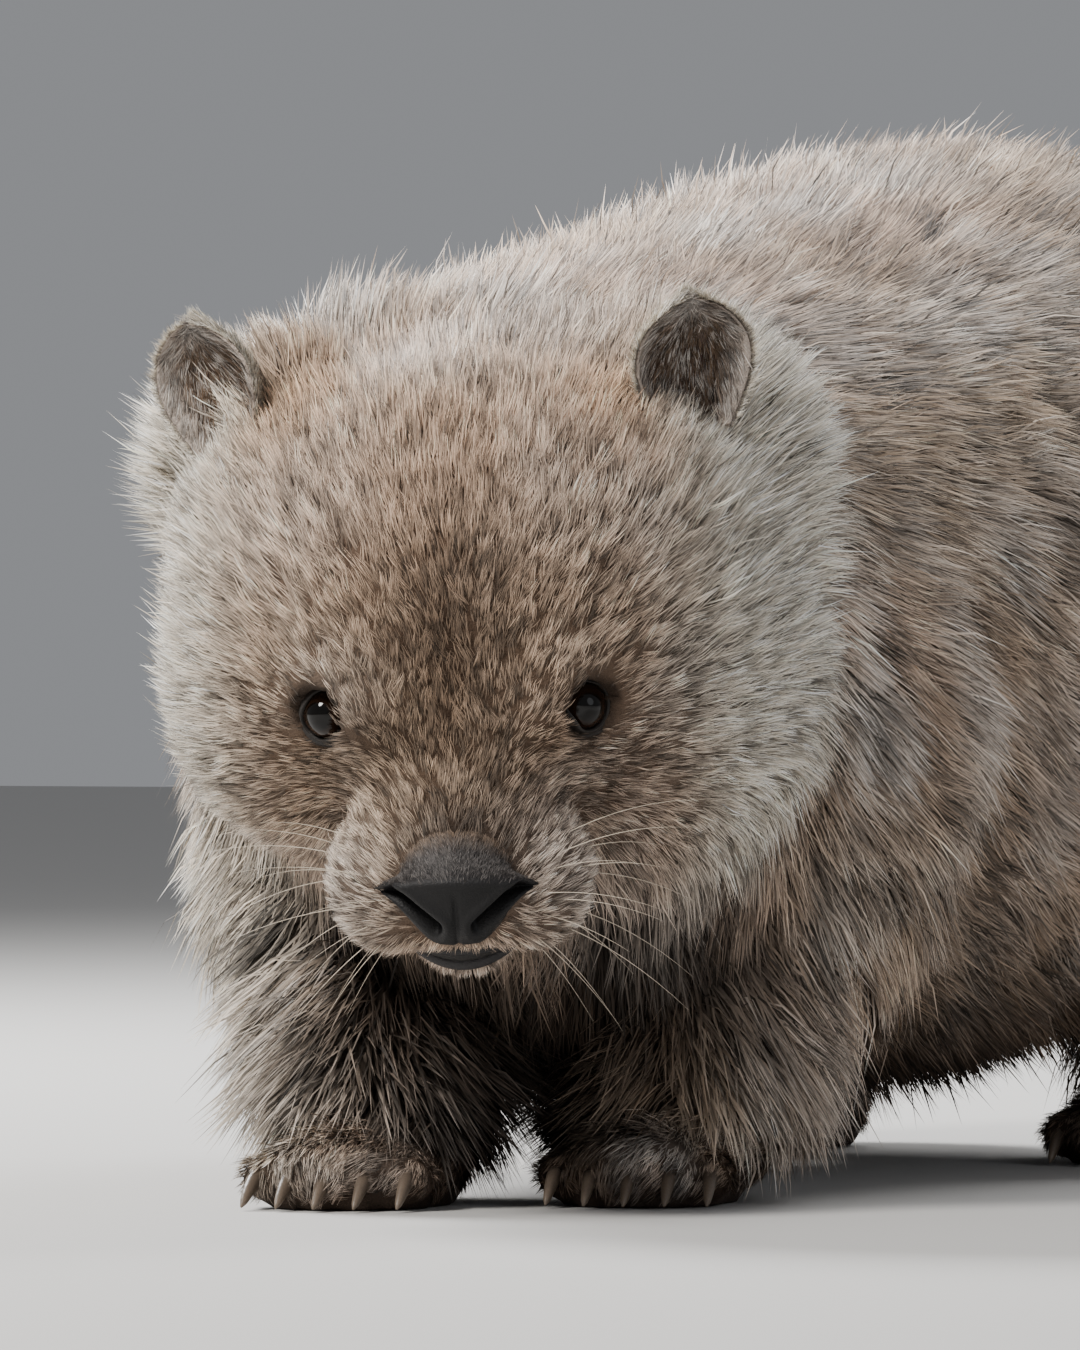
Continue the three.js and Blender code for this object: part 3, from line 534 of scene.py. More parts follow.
def markingsAndPaintedLight(p):
    # Colour of the coat's tips at each place: sand, then one layer of each shade over the other. Some layers
    # are painted shade under the body and between the forelegs, and one is painted light on the outside of
    # the right foreleg
    q = toHead(p)
    m = mirrored(q)
    x, y, z = p.T
    onHead = smooth(18, 4, headField(p))
    offHead = 1 - onHead
    broad, middle, fine = (patches(p, k) for k in ("broad", "middle", "fine"))
    bands = patches(p * np.array([1.0, 0.45, 0.7]) + 300, "middle")
    # painted shade on the inner sides of the forelegs and between them
    inner = smooth(60, 16, np.abs(x - 16)) * smooth(140, 90, z) * smooth(30, 90, y)
    # painted shade under the belly
    belly = smooth(112, 60, z) * offHead * smooth(150, 230, y)
    # painted light on the lit outside of the right foreleg
    outerPaintedLight = smooth(-5, -60, x) * smooth(170, 120, z) * smooth(220, 160, y) * offHead
    warm = spot(m[:, :2], (0, -25), (52, 62)) * onHead
    bridge = spot(m[:, :2], (0, 24), (24, 32)) * smooth(0, 12, q[:, 2] + 12) * onHead
    brow = spot(m, (35.5, 6, 26.5), (8, 9, 9)) * onHead
    lidRing = smooth(3.5, 0.5, eyeDistance(q)[0] - eye["radius"]) * onHead
    # painted shade under the jaw, and on the chest between and beside the forelegs
    throat = (spot(q, (0, -8, -78), (52, 52, 26)) + spot(p, (0, 84, 70), (46, 52, 56))
              + spot(p, (74, 76, 86), (34, 46, 36)))
    layers = [
        # all over
        ("rose", np.clip(0.36 + 0.3 * broad, 0, 0.7)),
        ("silver", np.clip(0.24 + 0.45 * middle, 0, 0.8) * (1 - 0.5 * onHead)),
        ("brown", np.clip(0.12 + 0.35 * fine - 0.15 * broad, 0, 0.6) * (1 - 0.5 * onHead)),
        # streaks on the trunk, and painted shade that darkens the low flank towards the underside
        ("brown", np.clip(0.75 * bands - 0.1, 0, 0.75) * offHead * smooth(90, 200, y)),
        ("umber", np.clip(0.5 * (bands + fine) - 0.45, 0, 0.5) * offHead * smooth(120, 220, y)),
        # painted shade: the low flank darkened towards the underside
        ("brown", 0.5 * smooth(190, 70, z) * smooth(150, 260, y) * offHead),
        # painted shade under the belly, on the inner sides of the legs and between them; painted light on the
        # outside of the right foreleg
        ("umber", np.clip(0.55 * belly + 0.6 * inner, 0, 0.9) * offHead),
        ("dark", np.clip(0.85 * inner, 0, 0.85) * offHead),
        # painted light: the outside of the right foreleg made paler where the light falls on it
        ("cream", 0.75 * outerPaintedLight * (1 - inner)),
        # warm forehead, tan beside the crown, dark bridge
        ("rose", 0.35 * warm),
        ("tan", 0.3 * warm),
        ("tan", 0.55 * onHead * spot(m[:, :2], (48, -70), (17, 22))),
        ("brown", 0.85 * bridge),
        ("umber", np.clip(0.35 * bridge + 0.25 * bridge * fine, 0, 0.6)),
        # pale cheeks, brows and ruff, dark round the eyes
        ("cream", 0.95 * smooth(52, 88, m[:, 0]) * onHead),
        ("cream", np.clip(1.5 * brow, 0, 0.95)),
        ("dark", 0.8 * lidRing),
        ("cream", 0.95 * spot(m, (84, -98, 30), (26, 30, 36))),
        # pale whisker pads, dark above the nose, pale chin, painted shade under the throat and on the chest
        # between the forelegs, brown feet
        ("silver", 0.5 * spot(m, (30, 52, -22), (12, 20, 18)) * onHead),
        ("charcoal", 0.7 * spot(m, (0, 62, 4), (22, 14, 12)) * onHead),
        ("silver", 0.5 * spot(m, (0, 52, -58), (18, 16, 10))),
        ("dark", np.clip(1.1 * throat, 0, 0.92) * (1 - 0.6 * onHead)),
        ("umber", 0.75 * smooth(20, 6, z)),
    ]
    colour = np.repeat(shades["sand"][None], len(p), axis=0)
    for shade, amount in layers:
        colour = mixColour(colour, shade, amount)
    return colour


# Lie of the coat

def lie(p):
    # Away from the nose on the head, backward and down the flanks on the trunk, down the legs
    q = toHead(p)
    onHead = smooth(14, 0, headField(p))[:, None]
    fromNose = q - np.array([0, 84, -22.0])
    fromNose = unit(fromNose * np.array([1.15, 1, 0.95])) @ headBase
    below = smooth(-16, -52, q[:, 2])[:, None]
    cheek = smooth(40, 84, np.abs(q[:, 0]))[:, None]
    headWay = unit(fromNose + np.array([0, 0, -1.0]) * (0.9 * below + 0.3 * cheek))
    flank = np.clip(np.abs(p[:, 0]) / 125, 0, 1)
    nothing = 0 * flank
    throat = smooth(170, 50, p[:, 1]) * smooth(215, 150, p[:, 2])
    body = np.stack([nothing, 1 - 0.85 * throat, -0.62 * flank ** 1.3 - 1.3 * throat - 0.05], axis=1)
    down = np.stack([np.sign(p[:, 0] - 10) * 0.25, nothing + 0.22, nothing - 1], axis=1)
    onLeg = (smooth(165, 95, p[:, 2]) * smooth(14, -4, legFields(p).min(1) - trunkField(p)))[:, None]
    footLow = smooth(44, 26, p[:, 2])[:, None]
    legWay = unit(down) * (1 - footLow) + np.array([0, -0.9, -0.4]) * footLow
    way = unit(body) * (1 - onLeg) + legWay * onLeg
    swirl = 0.16 * np.stack([patches(p + move, "middle") for move in (50, -90, 200)], 1)
    return unit(way * (1 - onHead) + headWay * onHead + swirl * (1 - 0.5 * onHead))


# Coat

coat = {
    "blades": 5,            # flat hairs in each tuft, three triangles apiece
    "patch": 0.0015,        # half of a tuft's patch on the unwrap
    "face": 0.50, "cheek": 0.26, "body": 0.1045, "foot": 0.34,   # tufts on each square millimetre
    "limit": 198000,        # triangles in one piece
    # where along the body the pieces of the trunk's coat begin and end
    "cuts": [("neck", -999, 142), ("chest", 142, 266), ("belly", 266, 452), ("rump", 452, 999)],
    # tufts in a clump, and their pull to its tip
    "clumps": {"face": (4, 0.15), "cheek": (6, 0.28), "body": (8, 0.42)},
    "width": 0.15, "widthPerLength": 0.018,
    "sunk": 1.3,            # millimetres that a root lies under the skin
    "clump": 0.55,          # how far the hairs of a tuft are drawn to one tip
    "soft": 0.6,            # share of the skin's own way in the shading of a hair
    "stray": 0.055, "strayLength": 1.35,   # share of hairs that stand out, and how much longer they are
    "tuftTurn": 0.14, "hairTurn": 0.2, "roll": 0.55,   # spread of a tuft's turn, and of a hair's
    "bend": (0.12, 0.3),    # least and most that a hair bends back
    "darkShare": 0.15, "darkTone": 0.35,   # share of dark tufts, and their tone
}


# Where the coat is thin or missing: nose pad, lips, eyes and the front of the ears

def padHeight(forward, up):
    # Height on the nose pad as seen from in front and above: 1 at its back edge, -1 at its tip
    return np.sin(np.arctan2(up, forward) - nose["view"] * radian)


def padWidth(u):
    # Widest at the ridge, rounded off above it and drawn in to the tip below it
    return 1 - 0.26 * smooth(0.1, 0.95, u) - 0.30 * smooth(0.0, -1.0, u)


def noseReach(q):
    # Distance over the nose pad's radii
    e = (q - np.array(nose["place"])) / np.array(nose["size"])
    e[:, 0] /= padWidth(padHeight(e[:, 1], e[:, 2]))
    return np.linalg.norm(e, axis=1)


mouth = {"half": 20, "forward": 62, "down": -43, "rise": 8, "back": 22}


def mouthLine(t):
    # From corner to corner, t from -1 to 1: back by t^2, and drawn up at the corners
    return np.stack([mouth["half"] * t, mouth["forward"] - mouth["back"] * t ** 2,
                     mouth["down"] + mouth["rise"] * t ** 2], axis=-1)


def lipZone(q):
    # 1 along the mouth, where the lips are bare
    t = np.clip(q[:, 0] / mouth["half"], -1, 1)
    line = mouthLine(t)
    away = np.linalg.norm((q - line)[:, 1:] * np.array([0.5, 1.0]), axis=1)
    return smooth(5.5, 3.5, away) * (np.abs(q[:, 0]) < mouth["half"] * 1.05)


def density(p, n):
    # Tufts on each square millimetre: most on the face and none on eyes, nose pad, lips and soles
    q = toHead(p)
    onHead = smooth(10, -2, headField(p))
    face = smooth(-62, -30, q[:, 1])
    value = coat["body"] + onHead * (coat["cheek"] - coat["body"] + (coat["face"] - coat["cheek"]) * face)
    low = smooth(42, 26, p[:, 2])
    value = value * (1 - low) + coat["foot"] * low
    away, along = eyeDistance(q)
    value = value * np.where((away < 10.2) & (along > 0), 0, 1)
    value = value * smooth(0.98, 1.06, noseReach(q)) * (1 - lipZone(q))
    return value * np.where((p[:, 2] < 7) & (n[:, 2] < -0.3), 0, 1)


def beforeEar(q):
    # 1 at the foot of an ear's open side, where the coat stays low enough to show it
    return spot(mirrored(q), (68, -74, 48), (24, 20, 24))


def behindEar(q):
    return spot(mirrored(q), (88, -98, 24), (22, 26, 34))


def betweenLegs(p):
    return smooth(95, 40, np.abs(p[:, 0] - 20))


def coatLength(p):
    # Millimetres of hair at each place
    q = toHead(p)
    onHead = smooth(16, 0, headField(p))
    face = smooth(-100, 42, q[:, 1])
    side = smooth(40, 92, np.abs(q[:, 0]))
    headHair = 21 - 14.4 * face + 6 * side * smooth(30, -40, q[:, 1]) + 6 * behindEar(q)
    body = 29 + 3 * patches(p, "middle")
    chest = smooth(150, 60, p[:, 2]) * smooth(230, 120, p[:, 1]) * betweenLegs(p)
    body = body + 22 * chest + 10 * smooth(130, 60, p[:, 2]) * smooth(180, 260, p[:, 1])
    low = smooth(44, 14, p[:, 2])
    body = body * (1 - low) + 8 * low
    nearEye = smooth(20, 8, eyeDistance(q)[0])
    value = body * (1 - onHead) + headHair * onHead
    return value * (1 - 0.35 * nearEye * onHead) * (1 - 0.6 * beforeEar(q))


def coatLift(p):
    # Angle between hair and skin: more on crown, ruff and back, least on the face
    q = toHead(p)
    onHead = smooth(16, 0, headField(p))
    side = smooth(50, 95, np.abs(q[:, 0]))
    body = 25 + 6 * smooth(250, 330, p[:, 2]) + 4 * patches(p, "fine")
    headLift = 25 + 6 * side + 16 * smooth(-30, -90, q[:, 1]) + 3 * smooth(-20, 40, q[:, 1])
    headLift = headLift + 12 * behindEar(q)
    low = smooth(40, 16, p[:, 2])
    hang = smooth(85, 55, p[:, 2]) * smooth(240, 130, p[:, 1]) * betweenLegs(p) * (1 - low)
    hang = np.maximum(hang, 0.6 * smooth(100, 50, p[:, 2]) * smooth(180, 260, p[:, 1]) * (1 - low))
    lift = (body + 34 * hang) * (1 - onHead) + headLift * onHead
    return lift * (1 - 0.35 * low) * (1 - 0.6 * beforeEar(q)) * radian


def gatherClumps(roots, ways, normals, lengths, lifts, every, draw):
    # Each tuft belongs to the nearest of a few chosen roots: it takes on that clump's turn and
    # tone, and its tips are drawn towards the clump's own tip
    chosen = draw.choice(len(roots), max(1, len(roots) // every), replace=False)
    tree = kdtree.KDTree(len(chosen))
    for i, k in enumerate(chosen):
        tree.insert(roots[k], i)
    tree.balance()
    owner = np.array([tree.find(root)[1] for root in roots])
    lengthAt, liftAt = lengths[chosen] * 0.92, lifts[chosen] * draw.uniform(0.6, 1.2, len(chosen))
    tipAt = roots[chosen] + ways[chosen] * (lengthAt * np.cos(liftAt))[:, None] + (
        normals[chosen] * (lengthAt * np.sin(liftAt) * 0.8)[:, None])
    return tipAt[owner], draw.normal(0, 0.2, len(chosen))[owner], draw.normal(0, 1, len(chosen))[owner]


def bentHair(t, start, length, lift, way, up, bend):
    # start + length (t way cos lift + t up sin lift), bent back by bend t^2 sin lift
    rise = length * t * np.sin(lift) - bend * t * t * np.sin(lift)
    return start + (length * t * np.cos(lift))[:, None] * way + rise[:, None] * up


def growTufts(name, roots, normals, ways, lengths, lifts, widths, tips, unwrap, seed, blades=None,
              rootDark=0.12, every=0, pull=0.0):
    # Each tuft's hairs leave a small round patch, rise at the lift, bend back to the lie and lean to
    # one tip
    blades = blades or coat["blades"]
    draw = np.random.default_rng(seed)
    tufts = len(roots)
    count = tufts * blades
    pick = np.repeat(np.arange(tufts), blades)   # the tuft of each hair
    way = unit(ways - (ways * normals).sum(1, keepdims=True) * normals)
    side = np.cross(normals, way)
    turn = draw.normal(0, coat["tuftTurn"], tufts)
    clumpTone = np.zeros(tufts)
    if every:
        clumpTip, clumpTurn, clumpTone = gatherClumps(roots, way, normals, lengths, lifts, every, draw)
        turn = turn + clumpTurn
    tuftWay = turned(way, side, turn)
    tuftLift = lifts * draw.uniform(0.75, 1.35, tufts)
    tuftLength = lengths * draw.uniform(0.75, 1.22, tufts)
    bend = draw.uniform(*coat["bend"], tufts)
    up = normals[pick]
    hairWay = turned(tuftWay[pick], side[pick], draw.normal(0, coat["hairTurn"], count))
    hairSide = np.cross(up, hairWay)
    lift = tuftLift[pick] * draw.uniform(0.7, 1.3, count)
    length = tuftLength[pick] * draw.uniform(0.7, 1.08, count)
    stray = draw.uniform(0, 1, count) < coat["stray"]
    length = np.where(stray, length * coat["strayLength"], length)
    lift = np.where(stray, lift * 1.5 + 0.1, lift)
    radius = (0.10 * lengths + 0.9)[pick] * np.sqrt(draw.uniform(0, 1, count))
    angle = draw.uniform(0, 2 * math.pi, count)
    base = (roots[pick] + (radius * np.cos(angle))[:, None] * hairWay
            + (radius * np.sin(angle))[:, None] * hairSide)
    base = base - np.minimum(coat["sunk"], 0.08 * lengths)[pick][:, None] * up
    curve = bend[pick] * length
    middle = bentHair(0.5, base, length, lift, hairWay, up, curve)
    tip = bentHair(1.0, base, length, lift, hairWay, up, curve)
    tuftTip = bentHair(1.0, roots, tuftLength * 0.96, tuftLift, tuftWay, normals, bend * tuftLength)[pick]
    if every:
        tuftTip = tuftTip * (1 - pull) + clumpTip[pick] * pull
    tip = tip * (1 - coat["clump"]) + tuftTip * coat["clump"]
    middle = middle * (1 - 0.4 * coat["clump"]) + (0.5 * (roots[pick] + tuftTip)) * 0.4 * coat["clump"]
    flat = turned(hairSide, up, draw.normal(0, coat["roll"], count))
    half = (widths[pick] * draw.uniform(0.7, 1.25, count) / 2)[:, None]
    places = np.stack([base - flat * half, base + flat * half, middle - flat * half * 0.85,
                       middle + flat * half * 0.85, tip], axis=1)
    places[:, :, 2] = np.maximum(places[:, :, 2], 0.4)   # clear of the floor
    faces = (np.arange(count) * 5)[:, None, None] + np.array([[0, 1, 3], [0, 3, 2], [2, 3, 4]])[None]
    # wind each hair so that its face looks out
    normal = np.cross(places[:, 1] - places[:, 0], places[:, 4] - places[:, 0])
    flip = (normal * up).sum(1) < 0
    faces[flip] = faces[flip][:, :, ::-1]
    normal = unit(normal) * np.where(flip, -1, 1)[:, None]
    softNormal = unit(normal * (1 - coat["soft"]) + up * coat["soft"])
    faces = faces.reshape(-1, 3)
    piece = meshObject(name, places.reshape(-1, 3), faces)
    tuftTone = np.clip(1.06 + 0.26 * draw.normal(size=tufts) + 0.26 * clumpTone, 0.3, 1.9)
    hairTone = tuftTone[pick] * np.clip(1 + 0.24 * draw.normal(size=count), 0.35, 1.8)
    dark = draw.uniform(0, 1, tufts)[pick] < coat["darkShare"]
    hairTone = np.where(dark, hairTone * coat["darkTone"], hairTone)
    tipColour = tips[pick] * hairTone[:, None]
    rootColour = tips[pick] * np.array([rootDark * 1.02, rootDark * 0.94, rootDark * 0.9])
    middleColour = tips[pick] * (0.7 * hairTone)[:, None] * np.array([1.02, 0.98, 0.93])
    colours = np.stack([rootColour, rootColour, middleColour, middleColour, tipColour], axis=1)
    colourAttribute(piece, np.clip(colours.reshape(-1, 3), 0, 1))
    layer = piece.data.uv_layers.new(name="OFBake")
    corner = np.array([[-1, -1], [1, -1], [-1, 0], [1, 0], [0, 1]]) * coat["patch"]
    uv = (unwrap[pick][:, None] + corner[None]).reshape(-1, 2)[faces.ravel()]
    layer.data.foreach_set("uv", uv.astype(np.float32).ravel())
    soft = piece.data.attributes.new("custom_normal", "FLOAT_VECTOR", "POINT")
    soft.data.foreach_set("vector", np.repeat(softNormal, 5, axis=0).astype(np.float32).ravel())
    return piece


def sampleSkin(p, triangles, seed):
    # Draws places on the skin, as many in each triangle as its area times the density asks
    draw = np.random.default_rng(seed)
    a, b, c = (p[triangles[:, k]] for k in range(3))
    cross = np.cross(b - a, c - a)
    area = np.linalg.norm(cross, axis=1) / 2
    face = cross / np.maximum(2 * area, 1e-9)[:, None]
    weight = area * density((a + b + c) / 3, face)
    total = int(weight.sum())
    chosen = np.searchsorted(np.cumsum(weight), draw.uniform(0, weight.sum(), total))
    chosen = np.minimum(chosen, len(triangles) - 1)
    u, v = draw.uniform(0, 1, total), draw.uniform(0, 1, total)
    over = u + v > 1
    u[over], v[over] = 1 - u[over], 1 - v[over]
    return a[chosen] + u[:, None] * (b - a)[chosen] + v[:, None] * (c - a)[chosen]


def regionOf(p):
    # The coat's pieces, by the same cuts as the solids, and by side
    q = toHead(p)
    onHead = headField(p) < 4
    legNear = legFields(p)
    onLeg = (legNear.min(1) < trunkField(p) - 1) & (p[:, 2] < 120)
    left = np.where(p[:, 0] > 10 * smooth(300, 60, p[:, 1]), "l", "r")
    name = np.full(len(p), "coat_neck_l", dtype=object)
    for part, low, high in coat["cuts"]:
        inside = (p[:, 1] >= low) & (p[:, 1] < high)
        for side in "lr":
            name[inside & (left == side)] = f"coat_{part}_{side}"
    for k, leg in enumerate(legs):
        name[onLeg & (legNear.argmin(1) == k)] = f"coat_{leg}"
    front = q[:, 1] > -34
    name[onHead & front] = "coat_face"
    for side in "lr":
        name[onHead & ~front & (np.where(q[:, 0] > 0, "l", "r") == side)] = f"coat_cheek_{side}"
    return name


def unwrapPlaces(across, up, along, start, length):
    # Angle round a middle line, and how far along it, both from just over 0 to just under 1
    return np.stack([0.01 + 0.98 * (np.arctan2(across, up) / (2 * math.pi) + 0.5),
                     0.01 + 0.98 * np.clip((along - start) / length, 0, 1)], 1)


def unwrapOf(p, name):
    # Each region is unwrapped round its own part: head, leg or trunk
    if name.startswith(("coat_face", "coat_cheek")):
        q = toHead(p)
        return unwrapPlaces(q[:, 0], q[:, 2] + 8, q[:, 1], -125, 215)
    if "leg" in name:
        joints = np.array(legs[name[5:]]["joints"], float)
        order = np.argsort(joints[:, 2])
        x, y = (np.interp(p[:, 2], joints[order, 2], joints[order, k]) for k in (0, 1))
        return unwrapPlaces(p[:, 0] - x, p[:, 1] - y, p[:, 2], 0, 150)
    middle, top, under = trunkSection(p[:, 1]).T[:3]
    return unwrapPlaces(p[:, 0] - middle, p[:, 2] - (top + under) / 2, p[:, 1], -10, 700)


def growCoat(p, triangles):
    # Tufts over the whole skin, in one piece for each region
    roots = sampleSkin(p, triangles, 11)
    normals = outward(roots)
    ways = lie(roots)
    lengths = coatLength(roots)
    lifts = coatLift(roots)
    tips = markingsAndPaintedLight(roots)
    names = regionOf(roots)
    widths = coat["width"] + coat["widthPerLength"] * lengths
    pieces = []
    print("tufts", len(roots))
    for k, name in enumerate(sorted(set(names))):
        chosen = np.where(names == name)[0]
        most = coat["limit"] // (3 * coat["blades"])
        if len(chosen) > most:
            print("thinned", name, len(chosen), most)
            chosen = chosen[:most]
        part = name.split("_")[1]
        every, pull = coat["clumps"].get(part, coat["clumps"]["body"])
        pieces.append(growTufts(name, roots[chosen], normals[chosen], ways[chosen], lengths[chosen],
                                lifts[chosen], widths[chosen], tips[chosen],
                                unwrapOf(roots[chosen], name), 100 + k, every=every, pull=pull))
        print("coat", name, len(chosen))
    return pieces


# Ears

ear = {
    "place": (71, -84, 47),      # middle of an ear's foot on the left, in the head's frame
    "shift": {1: (4, 6, 7.5), -1: (-1, 5, 4)},   # what each side's foot is moved by: 1 is left
    "tip": 24, "turnOut": 24, "spread": {1: 14, -1: 32},   # degrees forward, outward and sideways
    "length": 42, "half": {1: 18.5, -1: 17.8}, "cup": 10, "wall": 2.4,
    "rows": 30, "columns": 33, "tufts": 2200, "width": 0.16, "widthPerLength": 0.014,
    # tufts over the whole, length, lift in degrees, shade, and place on the unwrap
    "coats": {"back": (1.0, 6.5, 18, "cream", 0.02), "rim": (0.6, 4.2, 14, "cream", 0.36),
              "inside": (0.55, 7.0, 22, "brown", 0.7)},
}


def turnMatrix(axis, degrees):
    c, s = math.cos(degrees * radian), math.sin(degrees * radian)
    return np.array({"x": [[1, 0, 0], [0, c, -s], [0, s, c]],
                     "y": [[c, 0, s], [0, 1, 0], [-s, 0, c]],
                     "z": [[c, -s, 0], [s, c, 0], [0, 0, 1]]}[axis])


def earPoint(side, s, t, back=0.0):
    # A leaf |s| <= 1 wide and t from 0 to 1 tall; its half width is a sine-like outline, its depth
    # a cup of 1 - s^2, open to the front
    half = ear["half"][side] * (0.66 + 0.42 * np.sin(math.pi * np.clip(t, 0, 1) ** 1.1)) * np.sqrt(
        np.clip(1 - np.clip((t - 0.5) / 0.5, 0, 1) ** 3.4, 0, 1))
    rim = np.abs(s) ** 6
    depth = -ear["cup"] * (1 - s ** 2) * np.sin(math.pi * (0.2 + 0.72 * t)) + 2.5 * rim - back
    q = np.stack([half * s, depth, ear["length"] * (t - 0.14)], axis=-1)
    turn = turnMatrix("z", -side * ear["turnOut"]) @ turnMatrix("y", side * ear["spread"][side])
    turn = turn @ turnMatrix("x", ear["tip"])
    return fromHead(q @ turn.T + (sided(ear["place"], side) + ear["shift"][side]))


def makeEar(side, suffix):
    # A closed leaf with a wall, dark inside its cup
    rows, columns = ear["rows"], ear["columns"]
    t, s = np.meshgrid(np.linspace(0, 1, rows), np.linspace(-1, 1, columns), indexing="ij")
    frontPlaces = earPoint(side, s * 0.97, t * 0.985)
    backPlaces = earPoint(side, s, t, ear["wall"])
    # front columns, then back columns the other way round
    places = np.concatenate([frontPlaces, backPlaces[:, ::-1]], axis=1)
    around = 2 * columns
    faces = [gridFaces(rows, around)]
    for first, turn in ((0, 1), ((rows - 1) * around, -1)):
        a = first + np.arange(columns - 1)
        b = first + around - 1 - np.arange(columns - 1)
        faces.append(np.stack([a, a + 1, b - 1, a, b - 1, b], -1).reshape(-1, 3)[:, ::-turn])
    piece = meshObject(f"ear_skin_{suffix}", places.reshape(-1, 3), np.concatenate(faces))
    dark, pale = linear(84, 66, 60), linear(190, 176, 164)
    edge = smooth(0.55, 0.95, np.maximum(np.abs(s), t))[..., None]
    tone = np.concatenate([dark * (1 - edge) + pale * edge, pale + 0 * backPlaces], axis=1)
    colourAttribute(piece, tone.reshape(-1, 3))
    return piece


def growEarCoat(side, suffix, seed):
    # Hair on the back and rim that runs to the tip and outward, and a thinner fan inside the cup
    draw = np.random.default_rng(seed)
    gathered = []
    for part, (share, length, lift, shade, unwrapStart) in ear["coats"].items():
        total = int(ear["tufts"] * share)
        inside = part == "inside"
        t = draw.uniform(0.02, 0.97, total)
        s = draw.uniform(-0.98, 0.98, total)
        if part == "rim":
            edge = draw.uniform(0, 1, total)
            s = np.where(edge < 0.7, np.sign(s) * draw.uniform(0.9, 1.0, total), s)
            t = np.where(edge >= 0.7, draw.uniform(0.93, 0.99, total), t)
        back = 0.0 if inside else ear["wall"]
        p = earPoint(side, s, t, back)
        ds = earPoint(side, s + 0.01, t, back) - p
        dt = earPoint(side, s, np.minimum(t + 0.01, 1), back) - p
        facing = unit(earPoint(side, 0 * s, 0.5 + 0 * t, -9.0) - earPoint(side, 0 * s, 0.5 + 0 * t, 9.0))
        n = unit(np.cross(ds, dt))
        n = n * np.sign((n * facing).sum(1) * (1 if inside else -1))[:, None]
        outwardWay = unit(ds) * np.sign(s)[:, None]
        if inside:
            way = unit(dt) - 0.5 * outwardWay * np.abs(s)[:, None] + 0.25 * n
        else:
            way = unit(dt) + outwardWay * (0.9 * np.abs(s) ** 3 + (0.5 if part == "rim" else 0))[:, None]
        lengths = length * draw.uniform(0.7, 1.2, total)
        colour = np.repeat(shades[shade][None], total, axis=0)
        if inside:
            colour = mixColour(colour, "umber", np.clip(0.7 - 0.9 * np.abs(s) ** 2, 0, 1))
            colour = mixColour(colour, "silver", (draw.uniform(0, 1, total) < 0.35) * 0.7)
            colour = mixColour(colour, "silver", smooth(0.62, 0.98, np.maximum(np.abs(s), t)) * 0.7)
        unwrap = np.stack([unwrapStart + 0.28 * (s * 0.5 + 0.5), 0.02 + 0.96 * t], 1)
        gathered.append((p, n, unit(way), lengths, np.full(total, lift * radian), colour, unwrap))
    roots, normals, ways, lengths, lifts, tips, unwrap = (np.concatenate(k) for k in zip(*gathered))
    widths = ear["width"] + ear["widthPerLength"] * lengths
    return growTufts(f"coat_ear_{suffix}", roots, normals, ways, lengths, lifts, widths, tips, unwrap,
                     seed, rootDark=0.3)


# Eyes and lids

lid = {"around": 120, "rows": 26, "reach": 9.5, "rim": 1.0, "fold": 0.38}


def eyeAxes(side):
    # Line of sight, and the long and short ways of the slanted opening, in the head's frame
    gaze = sided(eyeGaze, side)
    across = unit(np.cross(gaze, (0, -0.2, 1.0)))
    tall = np.cross(across, gaze)
    slant = side * eye["slant"] * radian
    return gaze, turned(across, tall, slant), turned(tall, -across, slant)


def eyeCentre(side):
    return sided(eye["place"], side)


def makeEye(side, suffix):
    # A ball with a cornea: radius plus a low bulge exp(-a^2) about the line of sight
    gaze, across, tall = eyeAxes(side)
    rows, around = 48, 64
    a = np.linspace(0.001, math.pi, rows)[:, None]
    b = fullTurn(around)[None]
    radius = eye["radius"] - 0.35 + 0.75 * np.exp(-(a / 0.55) ** 2)
    q = eyeCentre(side) + radius[..., None] * turned(gaze, turned(across, tall, b), a)
    piece = meshObject(f"eyeball_{suffix}", fromHead(q.reshape(-1, 3)), gridFaces(rows, around))
    iris = smooth(0.5, 0.62, a) * smooth(1.02, 0.95, a)
    white = smooth(1.05, 1.25, a)
    colour = shades["dark"] * 0.10 + iris * linear(58, 36, 22) * 0.3 + white * linear(92, 80, 74) * 0.15
    colourAttribute(piece, np.repeat(colour, around, axis=0))
    return piece


